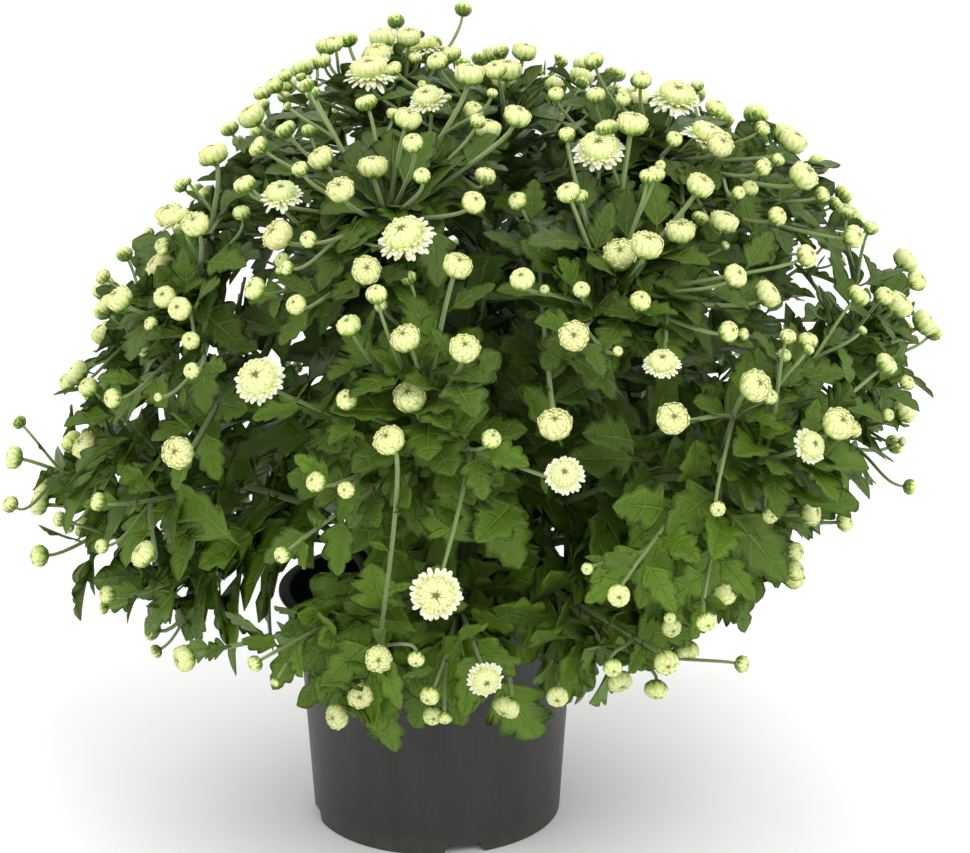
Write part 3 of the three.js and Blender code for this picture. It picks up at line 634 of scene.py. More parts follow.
@dataclass(frozen=True)
class PotFinish(Finish):
    """Moulded charcoal plastic with a fine grain, flow marks down the wall and a little dust."""

    charcoal: tuple = (0.020, 0.0193, 0.018, 1)
    worn: tuple = (0.050, 0.049, 0.0455, 1)
    dust: tuple = (0.16, 0.13, 0.10, 1)
    grain: tuple = (1400.0, 1.0, 0.00012)
    fixed: tuple = (("Specular IOR Level", 0.4),)

    def look(self, board: Board, place: Socket) -> tuple:
        """Blotches the charcoal, streaks it down the wall and dusts it near the foot."""
        stretched = board.node("Mapping", Vector=place, Scale=(1.0, 1.0, 0.08)).outputs[0]
        streaks = self.mottle(board, stretched, 70.0)
        blotches = self.mottle(board, place, 14.0)
        foot = board.step(board.node("SeparateXYZ", Vector=place).outputs[2], 0.016, 0.001)
        dusty = board.times(board.times(foot, self.mottle(board, place, 120.0, 0.6)), 0.25)
        colour = board.layered(self.charcoal, (board.times(streaks, 0.25), self.worn),
                               (board.times(blotches, 0.2), self.worn), (dusty, self.dust))
        rough = board.line(blotches, 0.12, 0.40)
        return colour, board.sums("MULTIPLY_ADD", dusty, 0.5, rough), 0.0


@dataclass(frozen=True)
class SoilFinish(Finish):
    """Moist potting mix: dark brown crumbs, with the odd pale grain by its mark."""

    wet: tuple = (0.036, 0.022, 0.015, 1)
    crumb: tuple = (0.110, 0.066, 0.042, 1)
    pale: tuple = (0.55, 0.52, 0.46, 1)
    grain: tuple = (900.0, 0.8, 0.0015)
    fixed: tuple = ()

    def look(self, board: Board, place: Socket) -> tuple:
        """Mixes wet and crumb by the mottle, and shows the pale grains."""
        crumbs = self.mottle(board, place, 220.0, 0.5)
        colour = board.layered(self.wet, (crumbs, self.crumb), (board.mark("tint"), self.pale))
        return colour, 0.9, crumbs


class Finishes:
    """The plant's materials, each built once."""

    def __init__(self) -> None:
        """Builds the shared groups and then the materials."""
        effects = Effects()
        self.leaf = LeafFinish("leaf_blade", effects).material()
        self.stem = StemFinish("downy_stem", effects).material()
        self.calyx = CalyxFinish("calyx_scale", effects).material()
        self.petal = PetalFinish("lemon_petal", effects).material()
        self.pot = PotFinish("charcoal_plastic", effects).material()
        self.soil = SoilFinish("potting_mix", effects).material()


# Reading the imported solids


@dataclass
class Solid:
    """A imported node's points, its doubles merged, and the ring of corners round each."""

    points: Array
    rings: dict[int, dict[int, int]]

    @staticmethod
    def read(node: str) -> "Solid":
        """Reads a node's mesh and notes which corner follows which round each point.

        Args:
            node: the node's name.

        Returns:
            Its points and rings.
        """
        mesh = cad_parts[node].data
        places = np.empty(len(mesh.vertices) * 3, np.float32)
        mesh.vertices.foreach_get("co", places)
        mesh.calc_loop_triangles()
        corners = np.empty(len(mesh.loop_triangles) * 3, np.int32)
        mesh.loop_triangles.foreach_get("vertices", corners)
        places = places.reshape(-1, 3).astype(float) / MM
        _, keep, merged = np.unique(np.round(places, 3), axis=0,
                                    return_index=True, return_inverse=True)
        rings: dict[int, dict[int, int]] = {}
        for triangle in merged.reshape(-1)[corners].reshape(-1, 3).tolist():
            for corner in range(3):
                following = rings.setdefault(triangle[corner], {})
                following[triangle[corner - 2]] = triangle[corner - 1]
        return Solid(places[keep], rings)

    def round_points(self, size: int) -> list[int]:
        """The points that a given number of triangles share."""
        return [point for point, ring in self.rings.items() if len(ring) == size]

    def ring(self, point: int, start: int | None = None) -> list[int]:
        """The corners round a point in order, counterclockwise as seen from outside.

        Args:
            point: its number.
            start: the corner to begin with, or any.

        Returns:
            The corners' numbers.
        """
        following = self.rings[point]
        walk = [next(iter(following)) if start is None else start]
        while following[walk[-1]] != walk[0]:
            walk.append(following[walk[-1]])
        return walk

    def star(self, point: int) -> tuple[Array, Array, Array]:
        """The middle of the ring round a point, its arms from there, and the way that it faces.

        Args:
            point: its number.

        Returns:
            The middle, the arms, shape (n, 3), and a unit vector.
        """
        corners = self.points[self.ring(point)]
        middle = corners.mean(0)
        arms = corners - middle
        return middle, arms, unit(np.cross(arms, np.roll(arms, -1, 0)).sum(0))


@dataclass
class LeafForm:
    """Reads the leaves of a packed spray.

    A solid leaf has one high point with twelve neighbours and one low point with eleven. The ring
    round the high point is the crest and right edge of the stalk, the right edge, the tip and the
    left edge.
    """

    high: int = 12
    low: int = 11
    ring_places: tuple = (0, 1, 11, 6, 2, 10)

    def read(self, solid: Solid) -> Array:
        """Seat, middle, tip, right shoulder and left shoulder of each leaf.

        Args:
            solid: a spray.

        Returns:
            The points of n leaves, shape (n, 5, 3).
        """
        leaves = []
        lows = {frozenset(solid.rings[point]): point for point in solid.round_points(self.low)}
        for point in solid.round_points(self.high):
            around = set(solid.rings[point])
            crests = [one for one in around if frozenset(around - {one}) in lows]
            if crests:
                below = lows[frozenset(around - {crests[0]})]
                ring = solid.ring(point, crests[0])
                places = solid.points[[ring[place] for place in self.ring_places]]
                crest, right, left, tip, right_shoulder, left_shoulder = places
                middle = (solid.points[point] + solid.points[below]) / 2
                seat = (crest + right + left) / 3
                leaves.append([seat, middle, tip, right_shoulder, left_shoulder])
        return np.array(leaves).reshape(-1, 5, 3)


class HeadKind(Enum):
    """What stands on the end of a stalk."""

    BUD = "closed bud, taller than wide, mostly calyx"
    BALL = "ball of incurved petals"
    CUP = "the calyx under an open bloom"


@dataclass(frozen=True)
class Head:
    """A flower head: its foot on the stalk, where it looks, its radius and kind."""

    stem: int
    base: Array
    facing: Array
    radius: float
    kind: HeadKind

    @property
    def centre(self) -> Array:
        """A point in the middle of the head."""
        return self.base + self.facing * self.radius * 0.75


@dataclass
class HeadForm:
    """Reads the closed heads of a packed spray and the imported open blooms.

    Heads over the small radius, and blooms, are dressed a little smaller than their solids.
    """

    top_corners: int = 6
    least_radius: float = 2.5
    least_rise: float = 0.3
    uneven: float = 0.03
    tilt: float = 0.05
    slender_rise: float = 0.5
    bud_top: float = 1.75
    ball_top: float = 1.45
    ball_shoulder: float = 0.72
    small: float = 6.5
    large_share: float = 0.55
    bloom_share: float = 0.88
    bloom_seat: float = 5.3
    bloom_height: float = 0.66
    bloom_inner: float = 0.76
    cup_radius: float = 5.0

    def read(self, solid: Solid, stem: int) -> list[Head]:
        """The heads whose top is a point with six level, equally far neighbours.

        Args:
            solid: a spray.
            stem: its number.

        Returns:
            The heads.
        """
        heads = []
        for point in solid.round_points(self.top_corners):
            middle, arms, facing = solid.star(point)
            reach = np.linalg.norm(arms, axis=1)
            mean = reach.mean()
            rise = float((solid.points[point] - middle) @ facing)
            even = np.ptp(reach) < self.uneven * mean and np.abs(arms @ facing).max() < self.tilt
            if not even or rise < self.least_rise or mean < self.least_radius:
                continue
            slender = rise > self.slender_rise * mean
            radius = float(mean / (1.0 if slender else self.ball_shoulder))
            top = self.bud_top if slender else self.ball_top
            base = solid.points[point] - facing * top * radius
            radius = min(radius, self.small) + max(radius - self.small, 0) * self.large_share
            kind = HeadKind.BUD if slender else HeadKind.BALL
            heads.append(Head(stem, base, facing, radius, kind))
        return heads

    def read_bloom(self, solid: Solid) -> Head:
        """An open bloom, from its middle point and the level star of petal tips round that.

        Args:
            solid: an open bloom.

        Returns:
            Its head, not yet on a stem.
        """
        point = max(solid.rings, key=lambda one: len(solid.rings[one]))
        middle, arms, facing = solid.star(point)
        radius = float(np.linalg.norm(arms, axis=1).max() / self.bloom_inner)
        base = middle - facing * (self.bloom_height * radius + self.bloom_seat)
        return Head(-1, base, facing, radius * self.bloom_share, HeadKind.CUP)


# The plant's growth


@dataclass(frozen=True)
class Dome:
    """The dome that the flower heads make, wider than high, its middle to the right of the pot."""

    x: float = 40
    z: float = 235
    radius: float = 260
    up: float = 229
    down: float = 116
    lean: float = 26
    power: float = 2.3

    def half(self, azimuth: Array, rise: Array) -> Array:
        """Half-heights above or below the middle. The skirt hangs lower on the left."""
        return np.where(rise > 0, self.up, self.down - self.lean * np.sin(azimuth))

    def point(self, azimuth: Array, polar: Array, inset: Array) -> Array:
        """Points of a turned superellipse: |across|^p + |rise|^p = 1, less an inset.

        Args:
            azimuth, polar: angles from the dome's middle.
            inset: millimetres inside the skin.

        Returns:
            The points, shape (..., 3).
        """
        across, rise = np.sin(polar), np.cos(polar)
        reach = (np.abs(across) ** self.power + np.abs(rise) ** self.power) ** (-1 / self.power)
        height = self.z + (self.half(azimuth, rise) - inset) * rise * reach
        return outward(azimuth, (self.radius - inset) * across * reach, height) + [self.x, 0, 0]

    def place(self, points: Array) -> tuple[Array, Array]:
        """The azimuth and polar angle at which points stand, seen from the dome's middle.

        Args:
            points: shape (..., 3).

        Returns:
            Both angles, each of shape (...).
        """
        across, lift = points[..., 0] - self.x, points[..., 2] - self.z
        away = np.hypot(across, points[..., 1]) / self.radius
        azimuth = np.arctan2(across, -points[..., 1])
        return azimuth, np.arctan2(away, lift / self.half(azimuth, lift))

    def normal(self, azimuth: Array, polar: Array) -> Array:
        """Outward directions."""
        return outward(azimuth, np.sin(polar), np.cos(polar))

    def depth(self, points: Array) -> Array:
        """How far inside the dome points lie, in millimetres, negative outside.

        Args:
            points: shape (..., 3).

        Returns:
            The depths, shape (...).
        """
        azimuth, polar = self.place(points)
        skin = self.point(azimuth, polar, np.zeros_like(polar))
        middle = np.array([self.x, 0, self.z])
        return np.linalg.norm(skin - middle, axis=-1) - np.linalg.norm(points - middle, axis=-1)


@dataclass(frozen=True)
class FrontOutline:
    """How far the plant reaches to the left and right at each height, as photographed.

    A point is taken along its line of sight to the upright plane through the pot's axis, where the
    rows give a height and the plant's left and right edges.
    """

    eye: tuple = (0, -1300, 587)
    rows: tuple = (
        (30, -78, 84), (62, -82, 112), (88, -150, 152), (99, -204, 160), (112, -210, 166),
        (140, -224, 214), (165, -232, 236), (190, -252, 256), (228, -240, 286), (252, -232, 290),
        (300, -216, 292), (330, -208, 284), (350, -192, 268), (380, -164, 250), (405, -140, 234),
        (430, -120, 194), (450, -94, 136), (464, -76, 84), (474, -66, -8), (486, -30, -8),
    )

    def margin(self, points: Array) -> Array:
        """How far inside the outline points are seen, in millimetres, negative outside.

        Args:
            points: shape (..., 3).

        Returns:
            The margins, shape (...).
        """
        eye = np.array(self.eye, float)
        sight = points - eye
        seen = eye + sight * (-eye[1] / sight[..., 1:2])
        x, z = seen[..., 0], seen[..., 2]
        height, left, right = np.array(self.rows, float).T
        inside = np.minimum(x - np.interp(z, height, left), np.interp(z, height, right) - x)
        return np.minimum(inside, height[-1] - z)


@dataclass(frozen=True)
class StemRule:
    """Where the main stems stand and how they bend, by the same rule as the solids.

    A reach is a place where the plant stands out past the dome: its azimuth, its distance from the
    dome's axis and its height. The stem whose tip is nearest ends there.
    """

    dome: Dome
    stems: int = 32
    polar_span: float = 1.8
    polar_crowding: float = 1.25
    scatter: float = 0.12
    insets: tuple = (2, 16)
    crown_x: float = 7
    crown_radius: float = 49
    soil_top: float = 127
    tip_lift: float = 0.3
    tip_bend: float = 0.38
    foot_lifts: tuple = (0.4, 0.52)
    foot_lean: float = 0.06
    reaches: tuple = (
        (-88, 282, 200), (-80, 234, 158), (-72, 252, 256), (88, 236, 258), (82, 248, 314),
        (52, 214, 228), (40, 192, 178), (20, 176, 138), (-2, 168, 124), (-22, 214, 148),
        (-106, 73, 474),
    )

    def curves(self) -> Array:
        """The cubic curve of each main stem.

        Returns:
            Control points, shape (stems, 4, 3).
        """
        stems = np.arange(self.stems)
        shares = (stems + 0.5) / self.stems
        polars = np.arccos(1 - self.polar_span * shares**self.polar_crowding)
        scatter, inset = (np.array([luck(stem, 0, use) for stem in stems.tolist()])
                          for use in (1, 2))
        azimuths = stems * GOLDEN_ANGLE + between(-self.scatter, self.scatter, scatter)
        tips = self.dome.point(azimuths, polars, between(*self.insets, inset))
        moved = np.zeros(self.stems, bool)
        for azimuth, radius, height in self.reaches:
            target = outward(math.radians(azimuth), radius, height) + [self.dome.x, 0, 0]
            away = np.where(moved, np.inf, np.linalg.norm(tips - target, axis=1))
            nearest = int(np.argmin(away))
            tips[nearest] = target
            moved[nearest] = True
        feet = outward(azimuths, self.crown_radius * np.sqrt(shares), self.soil_top - 1.0)
        return self.bent(feet + [self.crown_x, 0, 0], tips)

    def bent(self, feet: Array, tips: Array) -> Array:
        """Stems that rise from their feet and leave the dome nearly square to it.

        Args:
            feet, tips: shape (n, 3).

        Returns:
            Cubic curves, shape (n, 4, 3).
        """
        azimuth, polar = self.dome.place(tips)
        reach = np.linalg.norm(tips - feet, axis=1, keepdims=True)
        under = np.clip(polar - math.pi / 2, 0, 1)[:, None]
        lift = UP * reach * between(*self.foot_lifts, under)
        rise = feet + lift + outward(azimuth, 1, 0) * reach * self.foot_lean
        leaving = unit(self.dome.normal(azimuth, polar) + self.tip_lift * UP)
        return np.stack([feet, rise, tips - leaving * reach * self.tip_bend, tips], 1)


class LimbKind(Enum):
    """The three orders of branching."""

    MAIN = "main stem"
    SHOOT = "leafy side shoot"
    STALK = "flower stalk"


@dataclass(frozen=True)
class Limb:
    """A stem, shoot or stalk along a cubic curve."""

    stem: int
    kind: LimbKind
    curve: Array
    radius: float
    end_radius: float

    @property
    def length(self) -> float:
        """The curve's length, from its control points and chord."""
        steps = np.linalg.norm(np.diff(self.curve, axis=0), axis=1).sum()
        return float((steps + np.linalg.norm(self.curve[3] - self.curve[0])) / 2)


@dataclass
class Leaves:
    """Leaves as rows: seat, middle, tip and side vector of each, its width, marks and stem."""

    seat: Array
    middle: Array
    tip: Array
    side: Array
    width: Array
    tint: Array
    age: Array
    stem: Array

    @property
    def length(self) -> Array:
        """From seat to tip."""
        return np.linalg.norm(self.tip - self.seat, axis=1)

    def chosen(self, keep: Array) -> "Leaves":
        """Only the rows that a mask keeps."""
        return Leaves(**{name: values[keep] for name, values in vars(self).items()})

    @staticmethod
    def joined(parts: list["Leaves"]) -> "Leaves":
        """All rows of several sets."""
        columns = zip(*(vars(part).values() for part in parts))
        return Leaves(*(np.concatenate(column) for column in columns))

    def samples(self) -> Array:
        """Five points spread over each blade.

        Returns:
            The points, shape (n, 5, 3).
        """
        across = self.side * self.width[:, None] * 0.4
        outer = (self.middle + self.tip) / 2
        right, left = self.middle + across, self.middle - across
        return np.stack([self.middle, self.tip, outer, right, left], 1)


@dataclass(frozen=True)
class LeafPlan:
    """Leaves on a kind of limb: its leafy stretch, their spacing, their first and last length."""

    first: float
    last: float
    spacing: float
    long: float
    short: float


@dataclass
class Growth:
    """Grows limbs, heads and leaves round the ones that the solids have."""

    rule: StemRule = field(default_factory=lambda: StemRule(Dome()))
    outline: FrontOutline = field(default_factory=FrontOutline)
    extra_shoots: int = 170
    extra_stalks: int = 105
    shoot_places: int = 1600
    shoot_length: float = 75
    shoot_scatter: tuple = (-4, 16)
    top_reach: float = 18
    left_reach: float = 30
    skin: float = 18
    seen_margin: float = 5
    skirt_spacing: float = 2.3
    bud_radius: float = 5.6
    bud_radii: tuple = (2.2, 4.5)
    bud_away: tuple = (13, 22)
    bud_lift: tuple = (-6, 5)
    bud_room: float = 13
    bud_margin: float = 3
    head_height: float = 1.4
    main_radius: float = 2.9
    main_end: float = 1.3
    shoot_radius: float = 1.5
    stalk_radius: float = 1.1
    bud_stalk_radius: float = 0.95
    head_gap: float = 1.5
    proudest: tuple = (4, -22)
    lowest_leaf: float = 62
    soil_clear: float = 131
    rim_clear: float = 147
    wall_clear: tuple = (72, 99)
    head_radii: tuple = (4.0, 4.9, 6.0, 7.0, 7.9)
    head_chances_above: tuple = (0.20, 0.22, 0.26, 0.20, 0.12)
    head_chances_below: tuple = (0.32, 0.30, 0.22, 0.11, 0.05)
    plans: dict[LimbKind, LeafPlan] = field(default_factory=lambda: {
        LimbKind.MAIN: LeafPlan(0.30, 0.96, 7.4, 60.0, 42.0),
        LimbKind.SHOOT: LeafPlan(0.12, 0.84, 8.4, 46.0, 24.0),
        LimbKind.STALK: LeafPlan(0.30, 0.75, 16.0, 16.0, 9.0),
    })
    rng: Random = field(default_factory=lambda: np.random.default_rng(SEED))
    limbs: list[Limb] = field(default_factory=list)
    heads: list[Head] = field(default_factory=list)
    blooms: list[Head] = field(default_factory=list)
    leaves: Leaves | None = None

    def grow(self) -> None:
        """Reads the solids, then adds shoots, stalks and leaves in order."""
        solids = [Solid.read(f"spray_{stem + 1:02d}") for stem in range(self.rule.stems)]
        form = HeadForm()
        of_stem = [form.read(solid, stem) for stem, solid in enumerate(solids)]
        for name in sorted(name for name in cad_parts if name.startswith("bloom_")):
            bloom = form.read_bloom(Solid.read(name))
            away = [np.linalg.norm(solid.points - bloom.base, axis=1).min() for solid in solids]
            stem = int(np.argmin(away))
            self.blooms.append(replace(bloom, stem=stem))
            of_stem[stem].append(replace(bloom, stem=stem, radius=form.cup_radius))
        for stem, curve in enumerate(self.rule.curves()):
            self.branch(stem, curve, of_stem[stem])
        self.add_shoots()
        self.add_stalks()
        self.leaves = Leaves.joined([self.given_leaves(solids), self.more_leaves()])

    def branch(self, stem: int, curve: Array, heads: list[Head]) -> None:
        """Joins the heads of one spray to limbs.

        The main one ends the main stem, the nearest three stand on leading shoots, and the others
        on stalks from the leading shoots.

        Args:
            stem: its number.
            curve: the main stem's.
            heads: the spray's.
        """
        tip = curve[3].copy()
        tops = np.array([head.base + head.facing * self.head_height * head.radius
                         for head in heads])
        order = np.argsort(np.linalg.norm(tops - tip, axis=1))
        main, *others = [heads[index] for index in order]
        curve = curve.copy()
        curve[2] += main.base - tip
        curve[3] = main.base
        self.limbs.append(Limb(stem, LimbKind.MAIN, curve, self.main_radius, self.main_end))
        reach = float(np.linalg.norm(tip - curve[0]))
        leads = []
        for head in others[:3]:
            away = float(np.linalg.norm(head.base - tip))
            share = float(np.clip(1 - (away * 0.95 + 20) / reach, 0.4, 0.93))
            leads.append(self.shoot(curve, share, head, LimbKind.SHOOT, self.shoot_radius))
        for head in others[3:]:
            away = [np.linalg.norm(lead.curve[3] - head.base) for lead in leads]
            lead = leads[int(np.argmin(away))]
            self.shoot(lead.curve, 0.62, head, LimbKind.STALK, self.stalk_radius)
        self.heads += heads

    def shoot(self, curve: Array, share: float, head: Head, kind: LimbKind, radius: float) -> Limb:
        """A limb from a share along a curve to a head's foot, which it meets square.

        Args:
            curve, share: what it leaves, and where.
            head: what it carries.
            kind: its order of branching.
            radius: its own, at its foot.

        Returns:
            The limb.
        """
        at = np.array([share])
        root = bezier(curve[None], at)[0, 0]
        chord = head.base - root
        length = float(np.linalg.norm(chord))
        leave = unit(unit(chord) + 0.7 * bezier_slope(curve[None], at)[0, 0])
        straight = max(0.15, 0.55 + 0.45 * float(unit(chord) @ head.facing))
        foot = head.base - head.facing * min(0.34 * length, 15) * straight
        control = np.stack([root, root + leave * min(0.3 * length, 22), foot, head.base])
        limb = Limb(head.stem, kind, control, radius, max(0.85, min(1.3, head.radius * 0.16)))
        self.limbs.append(limb)
        return limb

    def add_shoots(self) -> None:
        """Leafy shoots with a head each, in the widest gaps that the dome's heads leave.

        Places lie in golden-angle order on the dome, closer to its middle at the sides. A shoot
        starts on the main stem where its length comes nearest to the usual one and its chord to
        the normal.
        """
        dome, count = self.rule.dome, self.shoot_places
        polar = np.arccos(1 - 1.62 * ((np.arange(count) + 0.5) / count))
        azimuth = np.arange(count) * GOLDEN_ANGLE + 1.0
        left = np.clip(-np.sin(azimuth), 0, 1) ** 3
        inset = self.rng.uniform(*self.shoot_scatter, count)
        inset = inset - self.top_reach * eased(1.4, 0.6, polar)
        inset = inset - self.left_reach * left * eased(1.55, 1.85, polar)
        points = dome.point(azimuth, polar, inset)
        seen = self.outline.margin(points) > self.seen_margin
        points, polar = points[seen], polar[seen]
        spacing = between(1.0, self.skirt_spacing, eased(1.0, 1.7, polar))
        taken = np.array([head.centre for head in self.heads])
        room = np.linalg.norm(points[:, None] - taken[None], axis=2).min(1) / spacing
        mains = [limb for limb in self.limbs if limb.kind is LimbKind.MAIN]
        steps = np.linspace(0.4, 0.9, 11)
        along = bezier(np.array([limb.curve for limb in mains]), steps)
        for _ in range(self.extra_shoots):
            best = int(np.argmax(room))
            point = points[best]
            room = np.minimum(room, np.linalg.norm(points - point, axis=1) / spacing)
            chord = point - along
            away = np.linalg.norm(chord, axis=2)
            aside = 1 - (chord @ dome.normal(*dome.place(point))) / np.maximum(away, 1)
            shallow = dome.depth(along) < self.skin
            cost = np.abs(away - self.shoot_length) + 90 * aside + 40 * shallow
            stem, step = np.unravel_index(int(np.argmin(cost)), cost.shape)
            above = between(1.0, 0.0, eased(0.8, 1.6, polar[best]))
            chances = between(np.array(self.head_chances_below), np.array(self.head_chances_above),
                              above)
            radius = float(self.rng.choice(self.head_radii, p=chances))
            self.crown(mains[stem].curve, float(steps[step]), point, int(stem), radius,
                       LimbKind.SHOOT)

    def add_stalks(self) -> None:
        """Small buds on short stalks beside the heads of shoots."""
        shoots = [limb for limb in self.limbs if limb.kind is LimbKind.SHOOT]
        taken = [head.centre for head in self.heads]
        added = 0
        for index in self.rng.permutation(len(shoots)):
            limb = shoots[index]
            end = limb.curve[3]
            side = unit(np.cross(end - limb.curve[2], self.rng.normal(0, 1, 3)))
            point = end + side * self.rng.uniform(*self.bud_away)
            point = point + UP * self.rng.uniform(*self.bud_lift)
            crowded = np.linalg.norm(np.array(taken) - point, axis=1).min() < self.bud_room
            if crowded or self.outline.margin(point) < self.bud_margin:
                continue
            radius = float(self.rng.uniform(*self.bud_radii))
            self.crown(limb.curve, 0.6, point, limb.stem, radius, LimbKind.STALK)
            taken.append(point)
            added += 1
            if added == self.extra_stalks:
                break

    def crown(self, curve: Array, share: float, point: Array, stem: int, radius: float,
              kind: LimbKind) -> None:
        """A head at a point, on a limb of its own from a share along a curve.

        It looks along its stalk, outward from the dome and up to the light, with scatter.

        Args:
            curve, share: what the limb leaves, and where.
            point: the head's place.
            stem: the spray's number.
            radius: the head's.
            kind: the limb's order of branching.
        """
        root = bezier(curve[None], np.array([share]))[0, 0]
        normal = self.rule.dome.normal(*self.rule.dome.place(point))
        looking = normal * 0.5 + UP * 0.35 + unit(point - root) * 0.7
        facing = unit(looking + self.rng.normal(0, 0.16, 3))
        look = HeadKind.BUD if radius < self.bud_radius else HeadKind.BALL
        head = Head(stem, point - facing * radius * self.head_height, facing, radius, look)
        thick = self.shoot_radius if kind is LimbKind.SHOOT else self.bud_stalk_radius
        self.shoot(curve, share, head, kind, thick)
        self.heads.append(head)

    def given_leaves(self, solids: list[Solid]) -> Leaves:
        """The leaves of the solids, as rows.

        Args:
            solids: the sprays in order.

        Returns:
            The leaves.
        """
        given = [LeafForm().read(solid) for solid in solids]
        seat, middle, tip, right, left = np.concatenate(given).swapaxes(0, 1)
        across = left - right
        _, polar = self.rule.dome.place(tip)
        return Leaves(seat, middle, tip, side=unit(across),
                      width=np.linalg.norm(across, axis=1) * 0.92,
                      tint=self.rng.uniform(0, 1, len(seat)), age=eased(0.7, 1.9, polar),
                      stem=np.repeat(np.arange(len(given)), [len(one) for one in given]))

    def more_leaves(self) -> Leaves:
        """Leaves in golden-angle order along every limb, clear of heads, the pot and the soil.

        A blade leaves its limb outward and a little along it, turns its face to the light, and
        droops with the square of its run.

        Returns:
            The leaves that have room.
        """
        rows = []
        for limb in self.limbs:
            plan = self.plans[limb.kind]
            stretch = plan.last - plan.first
            count = max(1, int(limb.length * stretch / plan.spacing))
            share = plan.first + stretch * (np.arange(count) + self.rng.uniform(0.2, 0.8)) / count
            rows.append(np.column_stack([
                bezier(limb.curve[None], share)[0], bezier_slope(limb.curve[None], share)[0],
                between(plan.long, plan.short, (share - plan.first) / stretch),
                between(limb.radius, limb.end_radius, share), np.full(count, limb.stem)]))
        start, along, length, radius, stem = np.split(np.concatenate(rows), [3, 6, 7, 8], axis=1)
        count = len(start)
        length = length[:, 0] * self.rng.uniform(0.82, 1.15, count)
        azimuth, polar = self.rule.dome.place(start)
        normal = self.rule.dome.normal(azimuth, polar)
        turn = (np.arange(count) * GOLDEN_ANGLE + self.rng.normal(0, 0.3, count))[:, None]
        lean = self.rng.uniform(0.35, 0.75, count)[:, None]
        direction = unit(spoke(*sideways(along), turn) + along * lean + normal * 0.45)
        level = between(1.15, 0.65, eased(0.5, 1.4, polar))[:, None]
        scatter = self.rng.normal(0, 0.24, (count, 3))
        face = squared(unit(normal * 0.85 + UP * level + along * 0.4 + scatter), direction)
        droop = self.rng.uniform(0.05, 0.36, count) * eased(8, 45, length)
        sink = between(0.02, 0.30, eased(1.1, 1.9, polar)) * eased(8, 45, length)
        bend = face * droop[:, None] + UP * sink[:, None]
        middle, tip = (
            start + (direction * run * length[:, None] - bend * length[:, None] * run * run)
            for run in (MIDDLE_RUN, 1.0))
        leaves = Leaves(
            start + direction * radius * 0.6, middle, tip, side=np.cross(face, direction),
            width=length * self.rng.uniform(0.56, 0.72, count) * between(
                0.62, 1.0, eased(14, 34, length)),
            tint=self.rng.uniform(0, 1, count), age=eased(0.7, 1.9, polar),
            stem=stem[:, 0].astype(int))
        return leaves.chosen(self.clear(leaves))

    def clear(self, leaves: Leaves) -> Array:
        """Which leaves keep clear of the heads, the pot, the soil and the dome's skin.

        Args:
            leaves: n leaves.

        Returns:
            A mask, shape (n,).
        """
        samples = leaves.samples()
        centres, radii = zip(*((head.centre, head.radius) for head in self.heads + self.blooms))
        away = np.linalg.norm(samples[:, :, None] - np.array(centres), axis=3)
        free = (away > np.array(radii) * 1.1 + self.head_gap).all((1, 2))
        height, out = samples[..., 2], np.hypot(samples[..., 0], samples[..., 1])
        inner, outer = self.wall_clear
        in_wall = (height < self.rim_clear) & (out < outer) & (out > inner)
        low = (height < self.lowest_leaf) | ((height < self.soil_clear) & (out < outer))
        _, polar = self.rule.dome.place(leaves.tip)
        deepest = between(*self.proudest, eased(1.0, 1.7, polar))
        proud = self.rule.dome.depth(samples[:, :3]).min(1) < deepest
        seen = (self.outline.margin(samples) > -2).all(1)
        return free & ~(in_wall | low).any(1) & ~proud & seen


# Shapes of the plant


